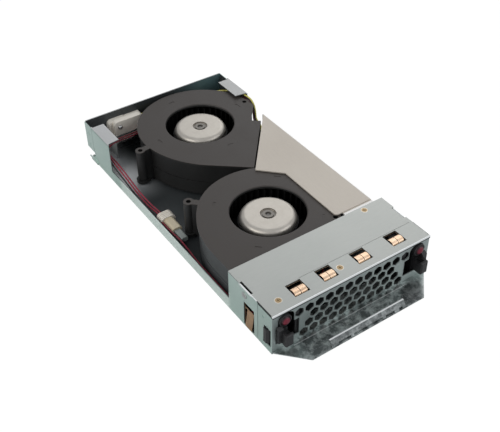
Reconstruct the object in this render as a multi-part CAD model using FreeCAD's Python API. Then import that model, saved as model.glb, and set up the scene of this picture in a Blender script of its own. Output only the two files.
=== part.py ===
"""Hot-swap fan module of a low rack enclosure: a zinc-plated steel tray that carries two radial blowers.

The front blower blows straight at the hexagon-perforated front face. The rear blower is turned, and
blows through a covered duct that runs forward past the front blower. A handle plate sticks out below
the face, a sprung latch sits in each front corner, and a blind-mating connector sits at the rear.

The model is built with x across the module from its middle plane, y rearwards from the front face
and z up from the underside of the tray. Every solid is moved along y at the end, so that the origin
is the bottom centre of the whole module. Lengths are in millimetres, angles in degrees.
"""
import FreeCAD, Part
import math
import os

V = FreeCAD.Vector
UP = V(0, 0, 1)

# Sheet metal
SHEET = 1.0
SPRING_SHEET = 0.25
SEAM = 0.4
SHEET_GAP = 0.1

# Blower casing, about the impeller's axis, with the outlet towards -y
BLOWER_RADIUS = 58.0
BLOWER_LEFT = 64.0
BLOWER_FRONT = 56.0
BLOWER_HEIGHT = 33.5
OUTLET_RIGHT = 8.0
CUTOFF_Y = -46.5
SCROLL_START = 140.0
RIM = 1.3
CASING_WALL = 2.0
COVER_THICK = 2.5
CASING_FLOOR = 2.0
SEAM_Z = 13.5
SEAM_GROOVE = 0.5
INLET_RADIUS = 31.6
INLET_ROUND = 1.2
POST_RADIUS = 4.4
POST_FOOT_RADIUS = 6.2
POST_FOOT_HEIGHT = 2.0
POST_HOLE_RADIUS = 2.1
POST_WEB = 6.0
OUTER_POST_X = -47.0
OUTER_POST_Y = 47.0
INNER_POST_X = 39.5
INNER_POST_Y = -37.5
MARK_CIRCLE = 44.0
MARK_LENGTH = 5.5
MARK_WIDTH = 2.0
MARK_DEPTH = 0.25

# Rotor and motor
HUB_RADIUS = 23.9
HUB_TOP = 30.5
HUB_SKIRT = 9.0
HUB_WALL = 1.2
HUB_ROUND = 5.0
HUB_RECESS_RADIUS = 6.8
HUB_RECESS_DEPTH = 1.4
HUB_COLLAR_RADIUS = 4.75
HUB_COLLAR_BORE = 2.5
HUB_COLLAR_DROP = 0.4
SHAFT_RADIUS = 1.5
SHAFT_FOOT = 2.6
SHAFT_BOSS_RADIUS = 4.0
SHAFT_BOSS_LENGTH = 4.0
IMPELLER_RADIUS = 41.5
BLADE_INNER_RADIUS = 33.5
BLADE_COUNT = 37
BLADE_THICK = 0.9
BLADE_LEAN = 45.0
IMPELLER_BASE = 6.0
IMPELLER_TOP = 28.0
IMPELLER_DISC = 1.6
IMPELLER_RING = 1.6
IMPELLER_RING_WIDTH = 3.5
IMPELLER_SLEEVE = 1.2
IMPELLER_SLEEVE_HEIGHT = 18.0
MAGNET_THICK = 2.6
MAGNET_HEIGHT = 11.0
AIR_GAP = 0.5
STATOR_BASE = 10.5
STATOR_HEIGHT = 9.0
STATOR_TEETH = 6
TOOTH_WIDTH = 4.0
TOOTH_TIP = 2.0
COIL_THICK = 2.2
BEARING_RADIUS = 4.0
BEARING_HEIGHT = 4.0
BEARING_GAP = 0.03
TUBE_WALL = 2.2
TUBE_HEIGHT = 22.0
BOARD_RADIUS = 19.0
BOARD_BASE = 3.4
BOARD_THICK = 1.6
FIT_GAP = 0.05

# Where the blowers sit in the tray
BOSS_HEIGHT = 2.5
BOSS_RADIUS = 5.4
REST_ANGLE = -20.0
PLENUM_DEPTH = 42.8
LEFT_WALL_GAP = 1.6
RIGHT_POST_GAP = 2.9
REAR_WALL_GAP = 3.2
BLOWER_SPACING = 0.8
REAR_TURN = 50.4
CAP_GAP = 1.7

# Tray and rear panel
MODULE_WIDTH = 150.0
LOW_WALL = 10.7
EAR_LENGTH = 49.0
EAR_FLANGE = 12.0
EAR_FLANGE_INSET = 1.6
EAR_FLANGE_GAP = 1.8
EAR_CHAMFER = 1.6
EAR_FOLD_LINE = 0.6
WRAP_LENGTH = 13.7
WRAP_BOTTOM = 11.2
WRAP_DROP = 1.5
PANEL_DROP = 0.5
CORNER_CUT = 9.0
CORNER_CUT_LENGTH = 12.0
JOINT_TAB = 7.0
GUIDE_LENGTH = 13.0
GUIDE_HEIGHT = 6.5
GUIDE_REACH = 0.8
GUIDE_REAR = 6.2
GUIDE_SLOPE = 4.0
PANEL_FOOT = 9.0
WELD_RADIUS = 1.5
WELD_DEPTH = 0.3

# Front cap
CAP_DEPTH = 56.4
CAP_OVERHANG = 0.6
CAP_LIP = 2.4
CAP_NOTCH_DEPTH = 2.2
CAP_NOTCH_Y = 26.8
CAP_NOTCH_LENGTH = 14.9
WINDOW_SIZE = 13.4
WINDOW_Y = 6.2
WINDOW_CENTRES = [-43.3, -16.7, 16.1, 50.0]
CAP_LINE_Y = 20.3
CAP_LINE_WIDTH = 0.35
CAP_LINE_DEPTH = 0.25
SCREW_RADIUS = 1.5
SCREW_HEAD_RADIUS = 2.9
SCREW_HEAD_HEIGHT = 1.2
CAP_SCREW_LENGTH = 3.0
CAP_SCREW_INSET = 13.0
CAP_SCREW_Y = 10.8
MIDDLE_SCREW_X = -4.8
MIDDLE_SCREW_Y = 11.8
DUCT_SCREW_FROM_EDGE = 4.2

# Front face
FACE_FLANGE = 17.8
FACE_TOP_FLANGE = 12.5
STRIP_SPACE = 1.2
HEX_FLATS = 7.5
HEX_PITCH = 9.25
HEX_ROW_PITCH = 7.85
HEX_ROW_MARGINS = [24.1, 37.9, 33.3, 28.7]
HEX_TOP_ROW_DROP = 9.6
LATCH_OPENING_INSET = 3.2
LATCH_OPENING_WIDTH = 21.0
LATCH_OPENING_GAP = 0.4
LATCH_OPENING_BOTTOM = 8.6
LATCH_OPENING_SHOULDER = 24.6
HOOK_WINDOW_Y = 1.7
HOOK_WINDOW_LENGTH = 8.4
HOOK_WINDOW_BOTTOM = 6.1
HOOK_WINDOW_HEIGHT = 17.1
FACE_WELD_Y = 11.0
FACE_WELD_HEIGHTS = [5.6, 30.6]
FACE_WELD_RADIUS = 0.9

# Contact finger strips
FINGER_WIDTH = 5.4
FINGER_SPACING = 0.45
FINGER_LENGTH = 8.2
FINGER_START = 0.8
FINGER_RISE = 0.7
STRIP_BORDER = 3.0
SIDE_WINDOW_Y = 22.6
SIDE_WINDOW_LENGTH = 13.4
SIDE_WINDOW_BOTTOM = 1.5
SIDE_WINDOW_HEIGHT = 23.5
SIDE_FINGER_START = 1.7
SIDE_FINGER_WIDTH = 8.3
SIDE_FINGER_TOP = 19.4
SIDE_FINGER_BAR = 1.2
SIDE_FINGER_REACH = 1.1
SIDE_SCREW_Y = 34.7
SIDE_SCREW_DROP = 7.5
SIDE_SCREW_LENGTH = 2.5

# Handle plate
HANDLE_REACH = 22.0
HANDLE_CHAMFER = 20.6
HANDLE_TONGUE = 16.0
LIP_LENGTH = 72.0
LIP_HEIGHT = 6.0
LIP_LEAN = 4.0
LIP_SLOTS = [(-29.5, 11.5), (-15.0, 28.0), (16.0, 9.0), (29.5, 3.5)]
LIP_SLOT_HEIGHT = 1.3

# Duct cover
COVER_LIFT = 0.4
COVER_JOGGLE = 0.5
COVER_RIGHT_GAP = 6.0
COVER_OUTLET_GAP = 1.5
COVER_TIP = 5.0
COVER_INNER_X = 39.7
COVER_INNER_Y = 30.5
COVER_FROM_CAP = 4.8
COVER_CORNER = 3.0
COVER_TONGUE = 12.0
COVER_TONGUE_INSET = 7.0
COVER_FOOT = 7.0

# Latches, measured from the outer side of the module
LATCH_PIVOT_INSET = 10.0
LATCH_PIVOT_Y = 28.0
LATCH_PIN_RADIUS = 1.5
LATCH_RUNNING_GAP = 0.05
LATCH_SWING = 6.0
LEVER_INSET = 3.6
LEVER_THICK = 9.4
LEVER_BARREL = 4.2
TAB_INSET = 6.6
TAB_WIDTH = 6.8
TAB_REACH = 9.0
TAB_BOTTOM = 10.8
TAB_HEIGHT = 11.4
TAB_ROUND = 1.6
TAB_NOTCH = 2.6
TAB_NOTCH_HEIGHT = 3.2
FIN_REACH = 3.4
FIN_THICK = 4.4
FIN_TOP = 26.6
HOOK_REACH = 1.2
HOOK_Y = 4.2
HOOK_LENGTH = 5.0
HOOK_GAP = 1.2
DOME_INSET = 10.8
DOME_DROP = 8.9
DOME_RADIUS = 4.3
DOME_REACH = 3.4
DOME_COLLAR = 5.3
DOME_COLLAR_REACH = 1.5
DOME_SHANK_RADIUS = 2.2
DOME_SHANK = 4.0
HOUSING_WALL = 1.8
HOUSING_TOP_WALL = 1.0
HOUSING_INNER_INSET = 23.4
HOUSING_OUTER_INSET = 2.3
HOUSING_FRONT = 1.7
HOUSING_LENGTH = 32.0
LEVER_END_GAP = 0.7
SPRING_RADIUS = 2.4
SPRING_WIRE = 0.5
SPRING_TURNS = 5
SPRING_Y = 15.0
SPRING_POCKET = 1.2

# Rear connector, which ends beside the rear blower
CONNECTOR_CLEARANCE = 2.7
CONNECTOR_WIDTH = 34.0
CONNECTOR_BODY_INSET = 3.4
CONNECTOR_EAR_WIDTH = 20.0
CONNECTOR_EAR_DEPTH = 5.0
CONNECTOR_EAR_DROP = 1.4
CONNECTOR_DEPTH = 12.5
CONNECTOR_BASE = 18.0
CONNECTOR_HEIGHT = 15.5
CONNECTOR_ROUND = 4.0
CONNECTOR_NOSE_INSET = 3.0
CONNECTOR_BRIM = 2.0
BRACKET_REACH = 21.5
BRACKET_MARGIN = 1.5
CONTACT_COUNT = 8
CONTACT_SIZE = 1.0
CONTACT_PITCH = 2.9
CONTACT_LENGTH = 7.0
CONNECTOR_SCREW_INSET = 8.6
CONNECTOR_SCREW_DROP = 6.0

# Plug and socket between the harness and the front blower's lead
PLUG_INSET = 2.6
PLUG_Y = 165.2
PLUG_LENGTH = 8.6
PLUG_WIDTH = 14.0
PLUG_HEIGHT = 8.8
PLUG_BASE = 3.0
PLUG_ROUND = 4.0
PLUG_RIBS = 4
PLUG_RIB_DEPTH = 0.5
SOCKET_INSET = 5.0
SOCKET_WIDTH = 9.2
SOCKET_LENGTH = 15.0
SOCKET_MARGIN = 1.4
BOOT_INSET = 6.2
BOOT_LENGTH = 12.5
BOOT_WIDTH = 6.2
BOOT_HEIGHT = 4.2

# Wires
WIRE_DIAMETER = 1.4
WIRE_PITCH = 2.4
HARNESS_LANE = 4.5
HARNESS_FROM_END = 6.0
HARNESS_START_Z = 21.4
HARNESS_RISE = [(1.0, 15.6, 21.4), (0.944, 18.7, 21.4), (0.822, 19.8, 21.4), (0.655, 20.3, 21.5), (0.444, 20.4, 21.6),
                (0.222, 21.8, 21.6), (0.067, 27.0, 21.3), (0.004, 35.0, 20.2), (0.0, 43.0, 17.4), (0.003, 51.0, 15.6),
                (0.002, 59.0, 14.4), (0.0, 69.4, 13.1), (0.002, 92.0, 8.7)]
HARNESS_ROLL = [0, 0, 0, 0, 0, 0, 0, -10, -35, -75, -105, -125, -135, -135, -115, -90, -90]
HARNESS_END_X = 6.6
HARNESS_END_Z = 7.3
HARNESS_BEND = (4.8, 18.0, 7.8)
HARNESS_RUN_IN = 7.0
FRONT_LEAD_X = 3.6
FRONT_LEAD_Z = 8.2
FRONT_LEAD_LANE = [(3.6, 157.0, 8.1), (4.0, 149.0, 8.0), (4.9, 137.0, 8.0), (4.2, 123.0, 8.0), (2.6, 106.0, 8.2),
                   (2.4, 84.0, 8.4), (2.3, 62.0, 8.4), (2.1, 44.6, 8.0), (4.6, 38.8, 7.0), (12.5, 36.6, 6.2),
                   (30.0, 36.2, 5.8), (52.0, 36.2, 5.8), (71.0, 37.4, 6.2), (79.6, 41.2, 7.2)]
FRONT_LEAD_ENTRY = 16.4
FRONT_LEAD_RUN_IN = 6.4
REAR_LEAD_Z = 29.0
REAR_LEAD_FROM_END = 6.0
REAR_LEAD_OUT = -23.6
REAR_LEAD_BACK = [(-9.6, 3.1, 11.7), (14.4, 3.0, 13.7), (36.4, 6.0, 13.3)]
REAR_LEAD_SIDE = [(13.0, 14.5, 9.7), (5.4, 27.0, 5.9), (2.6, 40.0, 3.1), (2.0, 50.4, 1.3), (2.0, 58.4, 1.3),
                  (2.2, 63.8, 5.2), (2.8, 66.6, 11.2), (3.4, 68.0, 17.2)]
REAR_LEAD_UNDER_SEAM = 1.6
REAR_LEAD_RUN_IN = 7.5
REAR_LEAD_BEND = (5.9, 2.7, 3.2)
REAR_LEAD_BEHIND = 7
REAR_LEAD_ENTRY = 19.0

# Sizes that follow from the ones above
HALF = MODULE_WIDTH / 2
OUTER_POST = V(OUTER_POST_X, OUTER_POST_Y, 0)
INNER_POST = V(INNER_POST_X, INNER_POST_Y, 0)
BLOWER_BASE = SHEET + BOSS_HEIGHT
BLOWER_TOP = BLOWER_BASE + BLOWER_HEIGHT
CAP_UNDER = BLOWER_TOP + CAP_GAP
MODULE_HEIGHT = CAP_UNDER + SHEET
FACE_TOP = CAP_UNDER - STRIP_SPACE
SPRING_UNDER = FACE_TOP + SHEET_GAP
SIDE_SCREW_Z = MODULE_HEIGHT - SIDE_SCREW_DROP
WRAP_TOP = MODULE_HEIGHT - WRAP_DROP
CAP_SCREW_PLACES = [V(-HALF + CAP_SCREW_INSET, CAP_SCREW_Y, 0), V(MIDDLE_SCREW_X, MIDDLE_SCREW_Y, 0)]


def turned(point, angle):
    """The point turned about the z axis."""
    c = math.cos(math.radians(angle))
    s = math.sin(math.radians(angle))
    return V(c * point.x - s * point.y, s * point.x + c * point.y, point.z)


FRONT_X = -HALF + SHEET + LEFT_WALL_GAP + BLOWER_LEFT
FRONT_Y = PLENUM_DEPTH + BLOWER_FRONT
REAR_X = HALF - SHEET - RIGHT_POST_GAP - POST_RADIUS - turned(INNER_POST, REAR_TURN).x
REAR_CORNER = turned(V(-BLOWER_LEFT, -BLOWER_FRONT, 0), REAR_TURN)
CORNER_ACROSS = REAR_X + REAR_CORNER.x - FRONT_X
CORNER_ALONG = math.sqrt((BLOWER_RADIUS + BLOWER_SPACING) ** 2 - CORNER_ACROSS**2)
REAR_Y = FRONT_Y + CORNER_ALONG - REAR_CORNER.y
MODULE_LENGTH = REAR_Y + BLOWER_RADIUS + REAR_WALL_GAP + SHEET
EAR_FRONT = MODULE_LENGTH - EAR_LENGTH
WRAP_FRONT = MODULE_LENGTH - WRAP_LENGTH
CONNECTOR_FRONT = MODULE_LENGTH - CONNECTOR_DEPTH
CONNECTOR_RIGHT = REAR_X - math.sqrt(BLOWER_RADIUS**2 - (CONNECTOR_FRONT - REAR_Y) ** 2) - CONNECTOR_CLEARANCE
CONNECTOR_LEFT = CONNECTOR_RIGHT - CONNECTOR_WIDTH
TO_ORIGIN = V(0, -(MODULE_LENGTH - HANDLE_REACH) / 2, 0)
BLOWERS = {"front": (V(FRONT_X, FRONT_Y, BLOWER_BASE), 0.0), "rear": (V(REAR_X, REAR_Y, BLOWER_BASE), REAR_TURN)}


def box(x0, x1, y0, y1, z0, z1):
    """A block between two corners."""
    return Part.makeBox(x1 - x0, y1 - y0, z1 - z0, V(x0, y0, z0))


def plate(points, z0, z1):
    """A flat plate from a closed outline of (x, y) points."""
    corners = [V(x, y, z0) for x, y in points]
    return Part.Face(Part.makePolygon(corners + corners[:1])).extrude(V(0, 0, z1 - z0))


def side_plate(points, x0, x1):
    """An upright plate from a closed outline of (y, z) points."""
    corners = [V(x0, y, z) for y, z in points]
    return Part.Face(Part.makePolygon(corners + corners[:1])).extrude(V(x1 - x0, 0, 0))


def rod(radius, z0, z1, x=0.0, y=0.0):
    """An upright cylinder."""
    return Part.makeCylinder(radius, z1 - z0, V(x, y, z0), UP)


def ring(outer, inner, z0, z1, x=0.0, y=0.0):
    """An upright tube."""
    return rod(outer, z0, z1, x, y).cut(rod(inner, z0 - 1, z1 + 1, x, y))


def joined(shapes):
    """One solid from touching or overlapping ones."""
    return shapes[0].multiFuse(shapes[1:]).removeSplitter()


def mirrored(shape):
    """The same shape on the other side of the module."""
    return shape.mirror(V(0, 0, 0), V(1, 0, 0))


def edges_at(shape, z, radius):
    """The round edges of a radius at a height."""
    found = []
    for edge in shape.Edges:
        curve = edge.Curve
        if isinstance(curve, Part.Circle) and abs(curve.Radius - radius) < 0.01 and abs(curve.Center.z - z) < 0.01:
            found.append(edge)
    return found


def upright_edges(shape):
    """The straight edges along z."""
    found = []
    for edge in shape.Edges:
        if isinstance(edge.Curve, Part.Line) and abs(edge.tangentAt(edge.FirstParameter).z) > 0.999:
            found.append(edge)
    return found


# Blower


def scroll_prism(inset, z0, z1, open_front=0.0):
    """The casing's plan shape, drawn in by an inset, as a solid between two heights."""
    radius = BLOWER_RADIUS - inset
    left = -(BLOWER_LEFT - inset)
    right = OUTLET_RIGHT - inset
    step = CUTOFF_Y + inset
    front = -BLOWER_FRONT - open_front
    along = math.cos(math.radians(SCROLL_START))
    scroll_radius = (-left + radius * along) / (1 + along)
    heading = turned(V(1, 0, 0), SCROLL_START)
    centre = heading * (radius - scroll_radius)
    tangent = V(left, centre.y, 0)
    scroll_from = heading * radius
    middle_heading = (heading + V(-1, 0, 0)).normalize()
    scroll_middle = centre + middle_heading * scroll_radius
    meet = V(math.sqrt(radius**2 - step**2), step, 0)
    meet_angle = math.degrees(math.atan2(meet.y, meet.x))
    arc_middle = turned(V(radius, 0, 0), (meet_angle + SCROLL_START) / 2)
    edges = [
        Part.LineSegment(V(left, front, 0), V(right, front, 0)).toShape(),
        Part.LineSegment(V(right, front, 0), V(right, step, 0)).toShape(),
        Part.LineSegment(V(right, step, 0), meet).toShape(),
        Part.Arc(meet, arc_middle, scroll_from).toShape(),
        Part.Arc(scroll_from, scroll_middle, tangent).toShape(),
        Part.LineSegment(tangent, V(left, front, 0)).toShape(),
    ]
    face = Part.Face(Part.Wire(edges))
    face.translate(V(0, 0, z0))
    return face.extrude(V(0, 0, z1 - z0))


def casing_wall(outer_inset, z0, z1):
    """The casing's side wall between two heights, open at the outlet."""
    cavity = scroll_prism(RIM + CASING_WALL, z0 - 1, z1 + 1, 1.0)
    return scroll_prism(outer_inset, z0, z1).cut(cavity)


def post_piece(place, z0, z1):
    """A screw post with the web that ties it to the casing."""
    web_start = BLOWER_RADIUS - RIM - CASING_WALL / 2
    post = rod(POST_RADIUS, z0, z1, place.x, place.y)
    if place.Length < web_start + POST_RADIUS:
        return post
    web = box(web_start, place.Length, -POST_WEB / 2, POST_WEB / 2, z0, z1)
    web.rotate(V(0, 0, 0), UP, math.degrees(math.atan2(place.y, place.x)))
    return post.fuse(web)


def post_hole(place):
    """The hole of a post: wide from the top, and narrow where the screw cuts its thread."""
    wide = rod(POST_HOLE_RADIUS, SEAM_Z, BLOWER_HEIGHT + 1, place.x, place.y)
    return wide.fuse(rod(SCREW_RADIUS + FIT_GAP, -1, SEAM_Z, place.x, place.y))


def blower_base():
    """Lower half of the casing, with the bearing tube that carries the motor."""
    parts = [scroll_prism(RIM, 0, CASING_FLOOR), casing_wall(RIM, 0, SEAM_Z)]
    for place in (OUTER_POST, INNER_POST):
        parts.append(post_piece(place, 0, SEAM_Z))
        parts.append(rod(POST_FOOT_RADIUS, 0, POST_FOOT_HEIGHT, place.x, place.y))
    tube_radius = BEARING_RADIUS + BEARING_GAP
    parts.append(rod(tube_radius + TUBE_WALL, 0, TUBE_HEIGHT))
    parts.append(rod(tube_radius + TUBE_WALL + 1, 0, BOARD_BASE))
    base = joined(parts)
    for place in (OUTER_POST, INNER_POST):
        base = base.cut(post_hole(place))
    return base.cut(rod(tube_radius, CASING_FLOOR, TUBE_HEIGHT + 1))


def blower_cover():
    """Upper half of the casing, with the round inlet and a thin overhanging rim."""
    under = BLOWER_HEIGHT - COVER_THICK
    top = scroll_prism(0, under, BLOWER_HEIGHT)
    groove = casing_wall(RIM + SEAM_GROOVE, SEAM_Z, SEAM_Z + SEAM_GROOVE)
    wall = casing_wall(RIM, SEAM_Z + SEAM_GROOVE, under)
    posts = [post_piece(place, SEAM_Z, BLOWER_HEIGHT) for place in (OUTER_POST, INNER_POST)]
    cover = joined([top, wall, groove] + posts)
    cover = cover.cut(rod(INLET_RADIUS, under - 1, BLOWER_HEIGHT + 1))
    cover = cover.makeFillet(INLET_ROUND, edges_at(cover, BLOWER_HEIGHT, INLET_RADIUS))
    for place in (OUTER_POST, INNER_POST):
        cover = cover.cut(post_hole(place))
    for quarter in range(4):
        mark = box(MARK_CIRCLE, MARK_CIRCLE + MARK_WIDTH, -MARK_LENGTH / 2, MARK_LENGTH / 2,
                   BLOWER_HEIGHT - MARK_DEPTH, BLOWER_HEIGHT + 1)
        mark.rotate(V(0, 0, 0), UP, 45 + 90 * quarter)
        cover = cover.cut(mark)
    return cover


def impeller():
    """Fan wheel: a sleeve round the rotor cup, a back disc, curved blades and a top ring."""
    sleeve_inner = HUB_RADIUS + FIT_GAP
    sleeve = ring(sleeve_inner + IMPELLER_SLEEVE, sleeve_inner, IMPELLER_BASE, IMPELLER_BASE + IMPELLER_SLEEVE_HEIGHT)
    disc_top = IMPELLER_BASE + IMPELLER_DISC
    disc = ring(IMPELLER_RADIUS, sleeve_inner, IMPELLER_BASE, disc_top)
    crown = ring(IMPELLER_RADIUS, IMPELLER_RADIUS - IMPELLER_RING_WIDTH, IMPELLER_TOP - IMPELLER_RING, IMPELLER_TOP)
    start = V(BLADE_INNER_RADIUS, 0, 0)
    sweep = math.degrees((IMPELLER_RADIUS - BLADE_INNER_RADIUS) * math.tan(math.radians(BLADE_LEAN)) / IMPELLER_RADIUS)
    end = turned(V(IMPELLER_RADIUS - SEAM, 0, 0), sweep)
    middle = turned(V((BLADE_INNER_RADIUS + IMPELLER_RADIUS) / 2, 0, 0), sweep * 0.3)
    across = math.degrees(BLADE_THICK / BLADE_INNER_RADIUS)
    far = [turned(p, across) for p in (start, middle, end)]
    edges = [
        Part.Arc(start, middle, end).toShape(),
        Part.LineSegment(end, far[2]).toShape(),
        Part.Arc(far[2], far[1], far[0]).toShape(),
        Part.LineSegment(far[0], start).toShape(),
    ]
    blade = Part.Face(Part.Wire(edges))
    blade.translate(V(0, 0, disc_top - SEAM))
    blade = blade.extrude(V(0, 0, IMPELLER_TOP - SEAM - disc_top + SEAM))
    blades = []
    for number in range(BLADE_COUNT):
        copy = blade.copy()
        copy.rotate(V(0, 0, 0), UP, 360.0 * number / BLADE_COUNT)
        blades.append(copy)
    return joined([sleeve, disc, crown] + blades)


def rotor_cup():
    """Drawn steel cup of the outer-rotor motor, with a rounded shoulder and a recessed centre."""
    cup = rod(HUB_RADIUS, HUB_SKIRT, HUB_TOP)
    cup = cup.makeFillet(HUB_ROUND, edges_at(cup, HUB_TOP, HUB_RADIUS))
    inner_radius = HUB_RADIUS - HUB_WALL
    hollow = rod(inner_radius, HUB_SKIRT - 1, HUB_TOP - HUB_WALL)
    hollow = hollow.makeFillet(HUB_ROUND - HUB_WALL, edges_at(hollow, HUB_TOP - HUB_WALL, inner_radius))
    boss = rod(SHAFT_BOSS_RADIUS, HUB_TOP - HUB_WALL - SHAFT_BOSS_LENGTH, HUB_TOP - HUB_RECESS_DEPTH)
    seat = rod(HUB_RECESS_RADIUS + HUB_WALL, HUB_TOP - HUB_WALL - HUB_RECESS_DEPTH, HUB_TOP - HUB_WALL)
    recess = rod(HUB_RECESS_RADIUS, HUB_TOP - HUB_RECESS_DEPTH, HUB_TOP + 1)
    collar = ring(HUB_COLLAR_RADIUS, HUB_COLLAR_BORE, HUB_TOP - HUB_RECESS_DEPTH, HUB_TOP - HUB_COLLAR_DROP)
    cup = cup.cut(hollow).multiFuse([boss, seat]).cut(recess).fuse(collar)
    return cup.cut(rod(SHAFT_RADIUS + BEARING_GAP, 0, HUB_TOP + 1)).removeSplitter()


def rotor_shaft():
    """Hardened shaft, from the cup's boss down through both bearings."""
    shaft = rod(SHAFT_RADIUS, SHAFT_FOOT, HUB_TOP - HUB_RECESS_DEPTH)
    return shaft.makeChamfer(SHAFT_RADIUS / 4, edges_at(shaft, SHAFT_FOOT, SHAFT_RADIUS))


def rotor_magnet():
    """Ring magnet pressed into the cup."""
    outer = HUB_RADIUS - HUB_WALL - FIT_GAP
    return ring(outer, outer - MAGNET_THICK, HUB_SKIRT + 1, HUB_SKIRT + 1 + MAGNET_HEIGHT)


def bearings():
    """Two bearings in the tube, one at each end."""
    low = CASING_FLOOR + SEAM
    high = TUBE_HEIGHT - BEARING_HEIGHT
    rings = [ring(BEARING_RADIUS, SHAFT_RADIUS + BEARING_GAP, z, z + BEARING_HEIGHT) for z in (low, high)]
    return Part.makeCompound(rings)


def stator_core():
    """Laminated stator on the bearing tube, with teeth that widen at the air gap."""
    tip_radius = HUB_RADIUS - HUB_WALL - FIT_GAP - MAGNET_THICK - AIR_GAP
    bore = BEARING_RADIUS + BEARING_GAP + TUBE_WALL + FIT_GAP
    top = STATOR_BASE + STATOR_HEIGHT
    yoke = rod(bore + TOOTH_TIP, STATOR_BASE, top)
    parts = [yoke]
    rim = ring(tip_radius, tip_radius - TOOTH_TIP, STATOR_BASE, top)
    gaps = []
    for number in range(STATOR_TEETH):
        angle = 360.0 * number / STATOR_TEETH
        tooth = box(0, tip_radius - TOOTH_TIP / 2, -TOOTH_WIDTH / 2, TOOTH_WIDTH / 2, STATOR_BASE, top)
        tooth.rotate(V(0, 0, 0), UP, angle)
        parts.append(tooth)
        gap = box(0, tip_radius + 1, -TOOTH_TIP / 2, TOOTH_TIP / 2, STATOR_BASE - 1, top + 1)
        gap.rotate(V(0, 0, 0), UP, angle + 180.0 / STATOR_TEETH)
        gaps.append(gap)
    rim = rim.cut(Part.makeCompound(gaps))
    return joined(parts + rim.Solids).cut(rod(bore, STATOR_BASE - 1, top + 1))


def stator_coils():
    """One winding round each tooth."""
    tip_radius = HUB_RADIUS - HUB_WALL - FIT_GAP - MAGNET_THICK - AIR_GAP
    bore = BEARING_RADIUS + BEARING_GAP + TUBE_WALL + FIT_GAP
    start = bore + TOOTH_TIP + COIL_THICK
    half = TOOTH_WIDTH / 2 + FIT_GAP
    end = math.sqrt((tip_radius - TOOTH_TIP - SEAM) ** 2 - (half + COIL_THICK) ** 2)
    low = STATOR_BASE - FIT_GAP
    high = STATOR_BASE + STATOR_HEIGHT + FIT_GAP
    coils = []
    for number in range(STATOR_TEETH):
        block = box(start, end, -half - COIL_THICK, half + COIL_THICK, low - COIL_THICK, high + COIL_THICK)
        coil = block.cut(box(start - 1, end + 1, -half, half, low, high))
        coil = coil.makeFillet(COIL_THICK / 3, [e for e in coil.Edges if e.BoundBox.XLength > end - start - 0.01
                                                and abs(abs(e.CenterOfMass.y) - half - COIL_THICK) < 0.01])
        coil.rotate(V(0, 0, 0), UP, 360.0 * number / STATOR_TEETH)
        coils.append(coil)
    return Part.makeCompound(coils)


def motor_board():
    """Round circuit board under the stator."""
    hole = BEARING_RADIUS + BEARING_GAP + TUBE_WALL + FIT_GAP
    return ring(BOARD_RADIUS, hole, BOARD_BASE, BOARD_BASE + BOARD_THICK)


def blower_screws():
    """The two screws that hold a blower, up through the tray's bosses."""
    screws = []
    for place in (OUTER_POST, INNER_POST):
        head = rod(SCREW_HEAD_RADIUS, -SHEET - SCREW_HEAD_HEIGHT, -SHEET, place.x, place.y)
        shank = rod(SCREW_RADIUS, -SHEET, SEAM_Z - SEAM, place.x, place.y)
        slot = box(-SCREW_HEAD_RADIUS, SCREW_HEAD_RADIUS, -SEAM, SEAM, -SHEET - SCREW_HEAD_HEIGHT - 1,
                   -SHEET - SCREW_HEAD_HEIGHT / 2)
        cross = slot.copy()
        cross.rotate(V(0, 0, 0), UP, 90)
        drive = slot.fuse(cross)
        drive.translate(place)
        screws.append(head.fuse(shank).cut(drive))
    return Part.makeCompound(screws)


def blower_nodes(name, place, angle):
    """All the pieces of one blower, put in its place."""
    pieces = {
        "blower_base": blower_base(),
        "blower_cover": blower_cover(),
        "impeller": impeller(),
        "rotor_cup": rotor_cup(),
        "rotor_shaft": rotor_shaft(),
        "rotor_magnet": rotor_magnet(),
        "rotor_bearings": bearings(),
        "stator_core": stator_core(),
        "stator_coils": stator_coils(),
        "motor_board": motor_board(),
        "blower_screws": blower_screws(),
    }
    placed = {}
    for piece, shape in pieces.items():
        shape.rotate(V(0, 0, 0), UP, angle)
        shape.translate(place)
        placed[name + "_" + piece] = shape
    return placed


# Tray and panels


def boss_places():
    """Where the tray's raised bosses carry the blowers: under the two posts and two plain rests."""
    reach = BLOWER_RADIUS - RIM - BOSS_RADIUS
    rests = [turned(V(reach, 0, 0), REST_ANGLE), V(-BLOWER_LEFT + 2 * BOSS_RADIUS, -BLOWER_FRONT + 2 * BOSS_RADIUS, 0)]
    places = []
    for centre, angle in BLOWERS.values():
        for local, has_screw in ((OUTER_POST, True), (INNER_POST, True), (rests[0], False), (rests[1], False)):
            places.append((centre + turned(local, angle), has_screw))
    return places


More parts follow.
